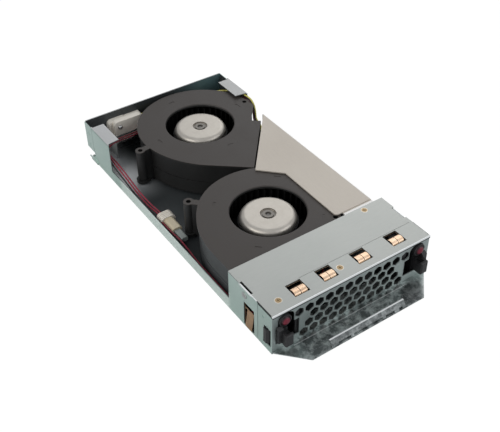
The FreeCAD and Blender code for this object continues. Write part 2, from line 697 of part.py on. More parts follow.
def tray_side():
    """Left side wall: full height under the cap, low in the middle and full height at the rear ear."""
    front = FACE_FLANGE + SEAM
    top = CAP_UNDER - SHEET_GAP
    ear_top = MODULE_HEIGHT
    guide_end = MODULE_LENGTH - GUIDE_REAR
    outline = [
        (front, 0), (guide_end, 0), (guide_end - GUIDE_SLOPE, GUIDE_HEIGHT), (WRAP_FRONT - SEAM, GUIDE_HEIGHT),
        (WRAP_FRONT - SEAM, ear_top), (EAR_FRONT, ear_top), (EAR_FRONT, LOW_WALL), (CAP_DEPTH, LOW_WALL),
        (CAP_DEPTH, top), (front, top),
    ]
    wall = side_plate(outline, -HALF, -HALF + SHEET)
    window = box(-HALF - 1, -HALF + 2, SIDE_WINDOW_Y, SIDE_WINDOW_Y + SIDE_WINDOW_LENGTH,
                 SIDE_WINDOW_BOTTOM, SIDE_WINDOW_BOTTOM + SIDE_WINDOW_HEIGHT)
    hole = Part.makeCylinder(SCREW_RADIUS + FIT_GAP, 4, V(-HALF - 1, SIDE_SCREW_Y, SIDE_SCREW_Z), V(1, 0, 0))
    fold_top = MODULE_HEIGHT - SHEET
    fold = box(-HALF - 1, -HALF + SHEET / 2, EAR_FRONT - 1, WRAP_FRONT, fold_top - EAR_FOLD_LINE, fold_top)
    return wall.cut(window).cut(hole).cut(fold)


def tray_tabs():
    """Inner tabs of the left wall, which the front face and the rear panel are welded to."""
    inner = -HALF + SHEET
    top = MODULE_HEIGHT - 4 * SHEET
    front_tab = box(inner, inner + SHEET, FACE_FLANGE - JOINT_TAB, FACE_FLANGE + SEAM + 3, SHEET, top)
    rear_tab = box(inner, inner + SHEET, WRAP_FRONT - JOINT_TAB, MODULE_LENGTH - 2 * SHEET, WRAP_BOTTOM, top)
    return [front_tab, rear_tab]


def tray_flange():
    """Top flange of the left rear ear, folded inwards."""
    outer = -HALF
    inner = -HALF + EAR_FLANGE
    rear = WRAP_FRONT - EAR_FLANGE_GAP
    front = EAR_FRONT + EAR_FLANGE_INSET
    points = [(outer, front), (inner, front + EAR_CHAMFER), (inner, rear), (outer, rear)]
    return plate(points, MODULE_HEIGHT - SHEET, MODULE_HEIGHT)


def tray_guide():
    """Guide lug at the foot of the left wall, pressed outwards and tapered towards the front."""
    rear = MODULE_LENGTH - GUIDE_REAR
    front = rear - GUIDE_LENGTH
    outline = [(front, 0), (rear, 0), (rear - GUIDE_SLOPE, GUIDE_HEIGHT), (front + GUIDE_HEIGHT, GUIDE_HEIGHT),
               (front, GUIDE_HEIGHT / 3)]
    return side_plate(outline, -HALF - GUIDE_REACH, -HALF + SHEET)


def tray():
    """Folded tray: floor with raised bosses, side walls and rear ears."""
    front_half = HALF - SHEET - SHEET_GAP
    floor_points = [
        (-front_half, 0), (front_half, 0), (front_half, FACE_FLANGE + SEAM), (HALF, FACE_FLANGE + SEAM),
        (HALF, MODULE_LENGTH - SHEET), (-HALF, MODULE_LENGTH - SHEET), (-HALF, FACE_FLANGE + SEAM),
        (-front_half, FACE_FLANGE + SEAM),
    ]
    parts = [plate(floor_points, 0, SHEET)]
    left = [tray_side(), tray_flange(), tray_guide()] + tray_tabs()
    parts += left + [mirrored(shape) for shape in left]
    for place, has_screw in boss_places():
        parts.append(rod(BOSS_RADIUS, 0, BLOWER_BASE, place.x, place.y))
    body = joined(parts)
    for place, has_screw in boss_places():
        body = body.cut(rod(BOSS_RADIUS - SHEET, -1, BOSS_HEIGHT, place.x, place.y))
        if has_screw:
            body = body.cut(rod(SCREW_RADIUS + FIT_GAP, -1, BLOWER_BASE + 1, place.x, place.y))
    behind = box(-HALF + SHEET, HALF - SHEET, MODULE_LENGTH - SHEET - SHEET_GAP, MODULE_LENGTH + 1, -1, MODULE_HEIGHT)
    corner = box(-HALF + SHEET, -HALF + CORNER_CUT, MODULE_LENGTH - CORNER_CUT_LENGTH, MODULE_LENGTH, -1, WRAP_BOTTOM)
    return body.cut(behind).cut(corner).cut(mirrored(corner))


def rear_panel():
    """Back wall with wrapped sides, a foot on the floor and the connector's window."""
    panel_top = MODULE_HEIGHT - PANEL_DROP
    wall = box(-HALF + CORNER_CUT, HALF - CORNER_CUT, MODULE_LENGTH - SHEET, MODULE_LENGTH, 0, panel_top)
    upper = box(-HALF + SHEET, HALF - SHEET, MODULE_LENGTH - SHEET, MODULE_LENGTH, WRAP_BOTTOM, panel_top)
    wrap = box(-HALF, -HALF + SHEET, WRAP_FRONT, MODULE_LENGTH, WRAP_BOTTOM, WRAP_TOP)
    for z in (WRAP_BOTTOM + (WRAP_TOP - WRAP_BOTTOM) * share for share in (0.2, 0.67)):
        weld = Part.makeCylinder(WELD_RADIUS, 1 + WELD_DEPTH, V(-HALF - 1, MODULE_LENGTH - WRAP_LENGTH / 2, z), V(1, 0, 0))
        wrap = wrap.cut(weld)
    foot = box(-HALF + EAR_FLANGE, HALF - EAR_FLANGE, MODULE_LENGTH - SHEET - PANEL_FOOT, MODULE_LENGTH, SHEET,
               2 * SHEET)
    panel = joined([wall, upper, wrap, mirrored(wrap), foot])
    window = connector_nose(SEAM)
    return panel.cut(window)


def connector_nose(margin):
    """The part of the rear connector that passes through the rear panel, grown by a margin."""
    left = CONNECTOR_LEFT + CONNECTOR_BODY_INSET + CONNECTOR_NOSE_INSET
    right = CONNECTOR_RIGHT - CONNECTOR_NOSE_INSET
    low = CONNECTOR_BASE + CONNECTOR_NOSE_INSET
    high = CONNECTOR_BASE + CONNECTOR_HEIGHT - CONNECTOR_NOSE_INSET
    front = MODULE_LENGTH - SHEET - SHEET_GAP
    return box(left - margin, right + margin, front, MODULE_LENGTH, low - margin, high + margin)


def front_cap():
    """Top cover of the front, with windows for the contact fingers and countersunk screws."""
    y0 = -CAP_OVERHANG
    outline = box(-HALF, HALF, y0, CAP_DEPTH, CAP_UNDER, MODULE_HEIGHT)
    lip = box(-HALF, HALF, y0, -SHEET_GAP, MODULE_HEIGHT - CAP_LIP, MODULE_HEIGHT)
    cap = joined([outline, lip])
    cuts = []
    for sign in (-1, 1):
        edge = sign * HALF
        inner = sign * (HALF - CAP_NOTCH_DEPTH)
        cuts.append(box(min(edge, inner), max(edge, inner), CAP_NOTCH_Y, CAP_NOTCH_Y + CAP_NOTCH_LENGTH,
                        CAP_UNDER - 1, MODULE_HEIGHT + 1))
    for centre in WINDOW_CENTRES:
        cuts.append(box(centre - WINDOW_SIZE / 2, centre + WINDOW_SIZE / 2, WINDOW_Y, WINDOW_Y + WINDOW_SIZE,
                        CAP_UNDER - 1, MODULE_HEIGHT + 1))
    for place in cap_screw_places():
        cuts.append(rod(SCREW_RADIUS + FIT_GAP, CAP_UNDER - 1, MODULE_HEIGHT + 1, place.x, place.y))
        cone = Part.makeCone(SCREW_RADIUS + FIT_GAP, SCREW_HEAD_RADIUS + FIT_GAP, SHEET, V(place.x, place.y, CAP_UNDER))
        cuts.append(cone)
    line_start = WINDOW_CENTRES[0] + WINDOW_SIZE / 2
    cuts.append(box(line_start, HALF - 3 * SHEET, CAP_LINE_Y, CAP_LINE_Y + CAP_LINE_WIDTH,
                    MODULE_HEIGHT - CAP_LINE_DEPTH, MODULE_HEIGHT + 1))
    return cap.cut(Part.makeCompound(cuts))


def cap_screw_places():
    """The cap's screws: two into the face's top flange and one into the duct cover."""
    left, right = tongue_sides()
    duct = V((left + right) / 2, CAP_DEPTH - DUCT_SCREW_FROM_EDGE, 0)
    return CAP_SCREW_PLACES + [duct]


def tongue_sides():
    """Left and right side of the duct cover's tongue under the cap."""
    return FRONT_X + COVER_INNER_X + COVER_TONGUE_INSET, HALF - SHEET - COVER_RIGHT_GAP


def cap_screws():
    """Countersunk screws of the cap."""
    screws = []
    for place in cap_screw_places():
        head = Part.makeCone(SCREW_RADIUS, SCREW_HEAD_RADIUS, SHEET, V(place.x, place.y, CAP_UNDER))
        shank = rod(SCREW_RADIUS, MODULE_HEIGHT - CAP_SCREW_LENGTH, CAP_UNDER + SHEET_GAP, place.x, place.y)
        slot = box(-SCREW_RADIUS, SCREW_RADIUS, -SEAM / 2, SEAM / 2, MODULE_HEIGHT - SHEET / 2, MODULE_HEIGHT + 1)
        cross = slot.copy()
        cross.rotate(V(0, 0, 0), UP, 90)
        drive = slot.fuse(cross)
        drive.translate(place)
        screws.append(head.fuse(shank).cut(drive))
    return Part.makeCompound(screws)


def hexagon(x, z):
    """One hexagonal hole of the front face, point upwards."""
    corner = HEX_FLATS / math.sqrt(3)
    points = []
    for number in range(7):
        angle = math.radians(60 * number + 30)
        points.append(V(x + corner * math.cos(angle), -1, z + corner * math.sin(angle)))
    return Part.Face(Part.makePolygon(points)).extrude(V(0, SHEET + 2, 0))


def hexagons():
    """The staggered rows of holes, centred on the face; each row runs to its own margin at the sides."""
    holes = []
    for row, margin in enumerate(HEX_ROW_MARGINS):
        z = MODULE_HEIGHT - HEX_TOP_ROW_DROP - row * HEX_ROW_PITCH
        stagger = 0.5 if row % 2 == 0 else 0.0
        last = math.floor((HALF - margin) / HEX_PITCH - stagger)
        for number in range(last + 1):
            x = (number + stagger) * HEX_PITCH
            holes.append(hexagon(x, z))
            if x > 0:
                holes.append(hexagon(-x, z))
    return holes


def latch_opening():
    """Opening of the left latch in the front face, with a round-topped part for its dome."""
    x0 = -HALF + LATCH_OPENING_INSET
    low = box(x0, x0 + LATCH_OPENING_WIDTH, -1, SHEET + 1, LATCH_OPENING_BOTTOM, LATCH_OPENING_SHOULDER)
    radius = DOME_COLLAR + LATCH_OPENING_GAP
    travel = latch_travel(DOME_DROP)
    dome_x = -HALF + DOME_INSET
    dome_z = MODULE_HEIGHT - DOME_DROP
    parts = [low]
    for x in (dome_x, dome_x + travel):
        parts.append(Part.makeCylinder(radius, SHEET + 2, V(x, -1, dome_z), V(0, 1, 0)))
    parts.append(box(dome_x - radius, dome_x + travel + radius, -1, SHEET + 1, LATCH_OPENING_SHOULDER - 1, dome_z))
    parts.append(box(dome_x, dome_x + travel, -1, SHEET + 1, dome_z, dome_z + radius))
    return joined(parts)


def latch_travel(ahead):
    """How far a point of the latch moves sideways at the face when the latch is pressed."""
    return (LATCH_PIVOT_Y + ahead / 4) * math.sin(math.radians(LATCH_SWING))


def hook_window():
    """Window of the left latch's hook in the face's side flange."""
    return box(-HALF - 1, -HALF + SHEET + 1, HOOK_WINDOW_Y, HOOK_WINDOW_Y + HOOK_WINDOW_LENGTH, HOOK_WINDOW_BOTTOM,
               HOOK_WINDOW_BOTTOM + HOOK_WINDOW_HEIGHT)


def front_grille():
    """Front face with its hexagonal holes, side flanges and top flange."""
    low = 2 * SHEET + SHEET_GAP
    face = box(-HALF, HALF, 0, SHEET, low, FACE_TOP)
    flange = box(-HALF, -HALF + SHEET, 0, FACE_FLANGE, 0, FACE_TOP)
    top = box(-HALF, HALF, 0, FACE_TOP_FLANGE, FACE_TOP - SHEET, FACE_TOP)
    body = joined([face, flange, mirrored(flange), top])
    windows = [box(c - WINDOW_SIZE / 2, c + WINDOW_SIZE / 2, WINDOW_Y, WINDOW_Y + WINDOW_SIZE, FACE_TOP - 2, FACE_TOP + 1)
               for c in WINDOW_CENTRES]
    for z in FACE_WELD_HEIGHTS:
        weld = Part.makeCylinder(FACE_WELD_RADIUS, 1 + WELD_DEPTH, V(-HALF - 1, FACE_WELD_Y, z), V(1, 0, 0))
        windows += [weld, mirrored(weld)]
    screws = [rod(SCREW_RADIUS + FIT_GAP, FACE_TOP - 2, FACE_TOP + 1, p.x, p.y) for p in CAP_SCREW_PLACES]
    openings = [latch_opening(), hook_window()]
    openings += [mirrored(shape) for shape in openings]
    return body.cut(Part.makeCompound(hexagons() + windows + screws)).cut(joined(openings[:1])).cut(openings[1]).cut(
        openings[2]).cut(openings[3])


def handle_plate():
    """Pull plate below the face, with chamfered corners and a raised finger lip."""
    inner = HALF - 2 * SHEET - 3 * SHEET_GAP
    outer = HALF - SHEET_GAP
    front = HALF - HANDLE_CHAMFER
    points = [
        (-inner, HANDLE_TONGUE), (-inner, -SHEET_GAP), (-outer, -SHEET_GAP), (-front, -HANDLE_REACH),
        (front, -HANDLE_REACH), (outer, -SHEET_GAP), (inner, -SHEET_GAP), (inner, HANDLE_TONGUE),
    ]
    base = plate(points, SHEET, 2 * SHEET)
    y0 = -HANDLE_REACH
    z0 = SHEET
    lip_outline = [(y0, z0), (y0 + SHEET, z0), (y0 + LIP_LEAN + SHEET, z0 + LIP_HEIGHT), (y0 + LIP_LEAN, z0 + LIP_HEIGHT)]
    lip = side_plate(lip_outline, -LIP_LENGTH / 2, LIP_LENGTH / 2)
    body = joined([base, lip])
    for start, length in LIP_SLOTS:
        slot = box(start, start + length, y0 - 1, y0 + 2 * SHEET, 2 * SHEET, 2 * SHEET + LIP_SLOT_HEIGHT)
        body = body.cut(slot)
    return body


def duct_cover():
    """Cover over the rear blower's outlet duct, with a flange to the floor and a tongue under the cap."""
    tongue_left, right = tongue_sides()
    low = BLOWER_TOP + COVER_LIFT
    edge_y = -BLOWER_FRONT - COVER_OUTLET_GAP
    rear = V(REAR_X, REAR_Y, 0)
    tip = rear + turned(V(-BLOWER_LEFT - COVER_TIP, edge_y, 0), REAR_TURN)
    heading = turned(V(1, 0, 0), REAR_TURN)
    corner = tip + heading * ((right - tip.x) / heading.x)
    front = CAP_DEPTH + COVER_FROM_CAP
    inner = FRONT_X + COVER_INNER_X
    bend = FRONT_Y + COVER_INNER_Y
    points = [(corner.x, corner.y), (tip.x, tip.y), (inner, bend), (inner, front), (right, front)]
    top = plate(points, low, low + SHEET)
    rounded = [e for e in upright_edges(top) if abs(e.CenterOfMass.x - inner) < 0.01 and e.CenterOfMass.y < front + 1]
    top = top.makeFillet(COVER_CORNER, rounded)
    tongue = box(tongue_left, right, CAP_DEPTH - COVER_TONGUE, front + SHEET, low - COVER_JOGGLE,
                 low - COVER_JOGGLE + SHEET)
    wall = box(right - SHEET, right, front, corner.y, SHEET, low + SHEET)
    foot = box(right - COVER_FOOT, right, front + SHEET, corner.y - 2 * COVER_FOOT, SHEET, 2 * SHEET)
    screw = cap_screw_places()[2]
    cover = joined([top, tongue, wall, foot])
    return cover.cut(rod(SCREW_RADIUS + FIT_GAP, 0, MODULE_HEIGHT, screw.x, screw.y))


# Contact finger strips


def finger(width, length, rise):
    """One arched contact finger along +y, with its foot at the origin."""
    top = rise - SPRING_SHEET
    under = [(0, 0), (length * 0.16, top * 0.7), (length * 0.34, top), (length * 0.6, top), (length * 0.82, top * 0.8),
             (length, top * 0.35)]
    over = [(y, z + SPRING_SHEET) for y, z in reversed(under)]
    return side_plate(under + over, 0, width)


def top_contact_strip():
    """Beryllium-copper strip under the cap, with two fingers in each window."""
    y0 = WINDOW_Y - STRIP_BORDER
    y1 = WINDOW_Y + WINDOW_SIZE + STRIP_BORDER
    half = WINDOW_SIZE / 2
    x0 = WINDOW_CENTRES[0] - half - STRIP_BORDER
    x1 = WINDOW_CENTRES[-1] + half + STRIP_BORDER
    z0 = SPRING_UNDER
    strip = box(x0, x1, y0, y1, z0, z0 + SPRING_SHEET)
    pitch = FINGER_WIDTH + FINGER_SPACING
    fingers = []
    for centre in WINDOW_CENTRES:
        strip = strip.cut(box(centre - half, centre + half, WINDOW_Y + SEAM, WINDOW_Y + WINDOW_SIZE, z0 - 1, z0 + 1))
        for side in (0, 1):
            arch = finger(FINGER_WIDTH, FINGER_LENGTH, MODULE_HEIGHT + FINGER_RISE - z0)
            arch.translate(V(centre - pitch + FINGER_SPACING / 2 + side * pitch, WINDOW_Y + SEAM + FINGER_START, z0))
            fingers.append(arch)
    screw = CAP_SCREW_PLACES[1]
    hole = rod(SCREW_RADIUS + SEAM, z0 - 1, z0 + 1, screw.x, screw.y)
    return joined([strip] + fingers).cut(hole)


def left_contact_strip():
    """Contact strip inside the left wall, with one tall finger that bows out through the window."""
    window_end = SIDE_WINDOW_Y + SIDE_WINDOW_LENGTH
    window_top = SIDE_WINDOW_BOTTOM + SIDE_WINDOW_HEIGHT
    low = SIDE_WINDOW_BOTTOM - SHEET_GAP
    x0 = -HALF + SHEET + SHEET_GAP
    x1 = x0 + SPRING_SHEET
    strip = box(x0, x1, SIDE_WINDOW_Y - STRIP_BORDER / 3, window_end + STRIP_BORDER, low, window_top + STRIP_BORDER)
    for z0, z1 in ((low - 1, SIDE_FINGER_TOP - SIDE_FINGER_BAR), (SIDE_FINGER_TOP, window_top - SEAM)):
        strip = strip.cut(box(x0 - 1, x0 + 1, SIDE_WINDOW_Y + SEAM, window_end - SEAM, z0, z1))
    foot = SIDE_FINGER_TOP - SIDE_FINGER_BAR / 2
    reach = -HALF - SIDE_FINGER_REACH
    drop = foot - low
    inner = [(x1, foot), (-HALF + 2 * SPRING_SHEET, foot - drop * 0.4), (reach + SPRING_SHEET, foot - drop * 0.92),
             (reach + 3 * SPRING_SHEET, low)]
    outer = [(x - SPRING_SHEET, z) for x, z in reversed(inner)]
    corners = [V(x, 0, z) for x, z in inner + outer]
    arch = Part.Face(Part.makePolygon(corners + corners[:1])).extrude(V(0, SIDE_FINGER_WIDTH, 0))
    arch.translate(V(0, SIDE_WINDOW_Y + SIDE_FINGER_START, 0))
    return joined([strip, arch])


# Latches, drawn for the left corner


def left_housing():
    """Fixed latch housing behind the face: top, bottom and inner wall round the lever."""
    x0 = -HALF + HOUSING_OUTER_INSET
    x1 = -HALF + HOUSING_INNER_INSET
    y0 = HOUSING_FRONT
    y1 = HOUSING_FRONT + HOUSING_LENGTH
    low = 2 * SHEET + SHEET_GAP
    high = FACE_TOP - SHEET - SHEET_GAP
    pivot_x = -HALF + LATCH_PIVOT_INSET
    bottom = box(x0, x1 + HOUSING_WALL, y0, y1, low, low + HOUSING_WALL)
    top = box(x0, x1 + HOUSING_WALL, y0, y1, high - HOUSING_TOP_WALL, high)
    inner = box(x1, x1 + HOUSING_WALL, y0, y1, low, high)
    front = box(x1 - HOUSING_WALL, x1, y0, y0 + HOUSING_WALL, low, high)
    body = joined([bottom, top, inner, front])
    for height in (low + HOUSING_WALL, high - HOUSING_TOP_WALL):
        body = body.fuse(ring(LEVER_BARREL, LATCH_PIN_RADIUS, height - SEAM, height + SEAM, pivot_x, LATCH_PIVOT_Y))
    body = body.cut(rod(LATCH_PIN_RADIUS + FIT_GAP, low + SEAM, high - SEAM, pivot_x, LATCH_PIVOT_Y))
    seat = Part.makeCylinder(SPRING_RADIUS + SPRING_WIRE, SPRING_POCKET / 2, V(x1, SPRING_Y, spring_height()), V(1, 0, 0))
    return body.cut(seat).removeSplitter()


def spring_height():
    """Height of the latch spring's axis."""
    return TAB_BOTTOM + TAB_HEIGHT / 2


def lever_heights():
    """Lowest and highest level of the latch lever inside its housing."""
    low = 2 * SHEET + SHEET_GAP + HOUSING_WALL + LEVER_END_GAP
    high = FACE_TOP - SHEET - SHEET_GAP - HOUSING_TOP_WALL - LEVER_END_GAP
    return low, high


def left_lever():
    """Latch lever: arm, thumb tab, hook and the collar that holds the dome."""
    low, high = lever_heights()
    x0 = -HALF + LEVER_INSET
    x1 = x0 + LEVER_THICK
    pivot_x = -HALF + LATCH_PIVOT_INSET
    arm_rear = LATCH_PIVOT_Y
    arm = box(pivot_x - LEVER_BARREL + SEAM, pivot_x + LEVER_BARREL - SEAM, HOUSING_FRONT + SEAM, arm_rear, low, high)
    head = box(x0, x1, 2 * SHEET - SHEET_GAP, HOUSING_FRONT + 3 * HOUSING_WALL, TAB_BOTTOM, high)
    barrel = rod(LEVER_BARREL, low, high, pivot_x, LATCH_PIVOT_Y)
    tab_x = -HALF + TAB_INSET
    tab_top = TAB_BOTTOM + TAB_HEIGHT
    tab = box(tab_x, tab_x + TAB_WIDTH, -TAB_REACH, 2 * SHEET, TAB_BOTTOM, tab_top)
    tab = tab.makeFillet(TAB_ROUND, [e for e in tab.Edges if e.CenterOfMass.y < -TAB_REACH + 0.01])
    notch = side_plate([(-TAB_REACH + TAB_NOTCH, tab_top + 1), (-TAB_REACH + TAB_NOTCH, tab_top),
                        (-TAB_REACH + 2 * TAB_NOTCH, tab_top - TAB_NOTCH_HEIGHT), (-SEAM, tab_top - TAB_NOTCH_HEIGHT),
                        (-SEAM, tab_top + 1)], tab_x + TAB_WIDTH / 3, tab_x + TAB_WIDTH + 1)
    tab = tab.cut(notch)
    fin_back = -LATCH_OPENING_GAP
    fin_low = TAB_BOTTOM + SHEET
    fin = side_plate([(fin_back, fin_low), (-FIN_REACH, fin_low), (-FIN_REACH, FIN_TOP - FIN_REACH / 2), (fin_back, FIN_TOP)],
                     x0, x0 + FIN_THICK)
    fin_root = box(x0, x0 + FIN_THICK, -FIN_REACH / 2, 2 * SHEET, TAB_BOTTOM, LATCH_OPENING_SHOULDER - LATCH_OPENING_GAP)
    hook = plate(
        [(-HALF - HOOK_REACH, HOOK_Y + HOOK_LENGTH), (-HALF - HOOK_REACH, HOOK_Y + HOOK_LENGTH / 3),
         (-HALF + SHEET, HOOK_Y), (x0 + 1, HOOK_Y), (x0 + 1, HOOK_Y + HOOK_LENGTH)],
        HOOK_WINDOW_BOTTOM + HOOK_GAP, HOOK_WINDOW_BOTTOM + HOOK_WINDOW_HEIGHT - HOOK_GAP)
    hook_root = box(x0, x0 + FIN_THICK, HOOK_Y - 1, HOOK_Y + HOOK_LENGTH + 1, HOOK_WINDOW_BOTTOM + HOOK_GAP, high)
    dome_z = MODULE_HEIGHT - DOME_DROP
    dome_x = -HALF + DOME_INSET
    collar = Part.makeCylinder(DOME_COLLAR, DOME_COLLAR_REACH + 2 * SHEET, V(dome_x, -DOME_COLLAR_REACH, dome_z), V(0, 1, 0))
    body = joined([arm, head, barrel, tab, fin, fin_root, hook, hook_root, collar])
    body = body.cut(rod(LATCH_PIN_RADIUS + LATCH_RUNNING_GAP, low - 1, high + 1, pivot_x, LATCH_PIVOT_Y))
    pocket = Part.makeCylinder(DOME_RADIUS + FIT_GAP, DOME_COLLAR_REACH + 1, V(dome_x, -DOME_COLLAR_REACH - 1, dome_z), V(0, 1, 0))
    shank = Part.makeCylinder(DOME_SHANK_RADIUS + FIT_GAP, DOME_SHANK, V(dome_x, -SHEET, dome_z), V(0, 1, 0))
    spring = Part.makeCylinder(SPRING_RADIUS + SPRING_WIRE, SPRING_POCKET,
                               V(pivot_x + LEVER_BARREL - SEAM - SPRING_POCKET, SPRING_Y, spring_height()), V(1, 0, 0))
    above = box(x0 - 1, dome_x + 2 * DOME_COLLAR, SHEET - 2 * SHEET_GAP, arm_rear, high, FACE_TOP)
    return body.cut(pocket).cut(shank).cut(spring).cut(above)


def left_dome():
    """Touch dome pressed into the lever's collar."""
    dome_z = MODULE_HEIGHT - DOME_DROP
    dome_x = -HALF + DOME_INSET
    sphere_radius = (DOME_RADIUS**2 + DOME_REACH**2) / (2 * DOME_REACH)
    centre = V(dome_x, sphere_radius - DOME_REACH - SEAM, dome_z)
    ball = Part.makeSphere(sphere_radius, centre)
    front = Part.makeCylinder(DOME_RADIUS, DOME_REACH + SEAM, V(dome_x, -DOME_REACH - SEAM - SHEET_GAP, dome_z), V(0, 1, 0))
    shank = Part.makeCylinder(DOME_SHANK_RADIUS, DOME_SHANK - SHEET, V(dome_x, -SEAM, dome_z), V(0, 1, 0))
    return ball.common(front).fuse(shank)


def left_pin():
    """Pivot pin of the latch."""
    low = 2 * SHEET + SHEET_GAP + SEAM
    high = FACE_TOP - SHEET - SHEET_GAP - SEAM
    return rod(LATCH_PIN_RADIUS, low, high, -HALF + LATCH_PIVOT_INSET, LATCH_PIVOT_Y)


def left_spring():
    """Compression spring between the lever and the housing."""
    start = -HALF + LATCH_PIVOT_INSET + LEVER_BARREL - SEAM - SPRING_POCKET + SPRING_WIRE
    end = -HALF + HOUSING_INNER_INSET + SPRING_POCKET / 2 - SPRING_WIRE
    length = end - start
    helix = Part.makeHelix(length / SPRING_TURNS, length, SPRING_RADIUS)
    section = Part.Wire(Part.makeCircle(SPRING_WIRE / 2, V(SPRING_RADIUS, 0, 0), V(0, 1, 0)))
    coil = Part.Wire(helix).makePipeShell([section], True, True)
    coil.rotate(V(0, 0, 0), V(0, 1, 0), 90)
    coil.translate(V(start, SPRING_Y, spring_height()))
    return coil


def latch_nodes():
    """Both latches, the right one mirrored."""
    left = {
        "latch_housing": left_housing(),
        "latch_lever": left_lever(),
        "latch_dome": left_dome(),
        "latch_pin": left_pin(),
        "latch_spring": left_spring(),
    }
    nodes = {}
    for piece, shape in left.items():
        nodes["left_" + piece] = shape
        nodes["right_" + piece] = mirrored(shape)
    return nodes


def side_screws():
    """Small pan-head screws in the side walls."""
    head = Part.makeCylinder(SCREW_HEAD_RADIUS, SHEET / 2, V(-HALF - SHEET / 2, SIDE_SCREW_Y, SIDE_SCREW_Z), V(1, 0, 0))
    shank = Part.makeCylinder(SCREW_RADIUS, SIDE_SCREW_LENGTH, V(-HALF, SIDE_SCREW_Y, SIDE_SCREW_Z), V(1, 0, 0))
    slot = box(-HALF - 1, -HALF - SHEET / 4, SIDE_SCREW_Y - SCREW_RADIUS, SIDE_SCREW_Y + SCREW_RADIUS,
               SIDE_SCREW_Z - SEAM / 2, SIDE_SCREW_Z + SEAM / 2)
    screw = head.fuse(shank).cut(slot)
    return Part.makeCompound([screw, mirrored(screw)])


# Rear connector


def rear_connector_housing():
    """Moulded blind-mating connector body with a brim and a nose through the rear panel."""
    x0 = CONNECTOR_LEFT + CONNECTOR_BODY_INSET
    x1 = CONNECTOR_RIGHT
    y0 = CONNECTOR_FRONT
    y1 = MODULE_LENGTH - SHEET - SHEET_GAP
    body = rounded_block(x0, x1, y0, y1, CONNECTOR_HEIGHT)
    step = box(x0 - 1, x1 + 1, y0 + CONNECTOR_DEPTH / 2, y1 + 1, CONNECTOR_BASE + CONNECTOR_HEIGHT - CONNECTOR_BRIM, MODULE_HEIGHT)
    ear = rounded_block(CONNECTOR_LEFT, CONNECTOR_LEFT + CONNECTOR_EAR_WIDTH, y0 + CONNECTOR_EAR_DEPTH, y1,
                        CONNECTOR_HEIGHT - CONNECTOR_EAR_DROP)
    body = joined([body.cut(step), ear, connector_nose(0)])
    holes = []
    for place in contact_places():
        holes.append(box(place.x - CONTACT_SIZE, place.x + CONTACT_SIZE, MODULE_LENGTH - CONTACT_LENGTH, MODULE_LENGTH + 1,
                         place.z - CONTACT_SIZE, place.z + CONTACT_SIZE))
    screw = connector_screw_place()
    holes.append(Part.makeCylinder(SCREW_RADIUS + FIT_GAP, CONNECTOR_DEPTH / 2, V(screw.x, y0 - 1, screw.z), V(0, 1, 0)))
    return body.cut(Part.makeCompound(holes))


def rounded_block(x0, x1, y0, y1, height):
    """A block on the connector's base level with its two upper lengthwise edges rounded."""
    block = box(x0, x1, y0, y1, CONNECTOR_BASE, CONNECTOR_BASE + height)
    lengthwise = [e for e in block.Edges if e.BoundBox.YLength > y1 - y0 - 0.01 and e.CenterOfMass.z > CONNECTOR_BASE + 1]
    return block.makeFillet(CONNECTOR_ROUND, lengthwise)


def contact_places():
    """Centres of the contact blades in the connector's nose."""
    middle = (CONNECTOR_LEFT + CONNECTOR_BODY_INSET + CONNECTOR_RIGHT) / 2
    z = CONNECTOR_BASE + CONNECTOR_HEIGHT / 2
    return [V(middle + (number - (CONTACT_COUNT - 1) / 2) * CONTACT_PITCH, 0, z) for number in range(CONTACT_COUNT)]


def rear_connector_contacts():
    """Contact blades, each standing in its cavity."""
    half = CONTACT_SIZE / 2
    start = MODULE_LENGTH - CONTACT_LENGTH
    blades = [box(p.x - half, p.x + half, start, MODULE_LENGTH - SHEET, p.z - half, p.z + half) for p in contact_places()]
    return Part.makeCompound(blades)


def connector_screw_place():
    """Axis of the connector's fixing screw."""
    return V(CONNECTOR_LEFT + CONNECTOR_SCREW_INSET, 0, CONNECTOR_BASE + CONNECTOR_HEIGHT - CONNECTOR_SCREW_DROP)


def rear_connector_screw():
    """Domed fixing screw in the connector's front."""
    place = connector_screw_place()
    y0 = CONNECTOR_FRONT
    shank = Part.makeCylinder(SCREW_RADIUS, CONNECTOR_DEPTH / 2 - 2, V(place.x, y0, place.z), V(0, 1, 0))
    head = Part.makeSphere(SCREW_HEAD_RADIUS * 0.8, V(place.x, y0, place.z))
    front = box(place.x - 5, place.x + 5, y0 - 5, y0, place.z - 5, place.z + 5)
    return head.common(front).fuse(shank)


def rear_connector_bracket():
    """Folded bracket: the shelf that the connector stands on, and its legs."""
    x0 = CONNECTOR_LEFT - BRACKET_MARGIN
    x1 = x0 + CONNECTOR_WIDTH + 2 * BRACKET_MARGIN
    y0 = MODULE_LENGTH - BRACKET_REACH
    y1 = MODULE_LENGTH - SHEET - SHEET_GAP
    top = CONNECTOR_BASE
    low = 2 * SHEET
    corner = (y1 - y0) / 2
    shelf = plate([(x0, y0), (x0 + CONNECTOR_WIDTH / 2, y0), (x1, y0 + corner), (x1, y1), (x0, y1)], top - SHEET, top)
    leg = box(x0, x0 + SHEET, y0, MODULE_LENGTH - SHEET - PANEL_FOOT - SHEET_GAP, SHEET, top)
    back = box(x0, x1, y1 - SHEET, y1, low, top)
    return joined([shelf, leg, back])


# Inline plug and socket


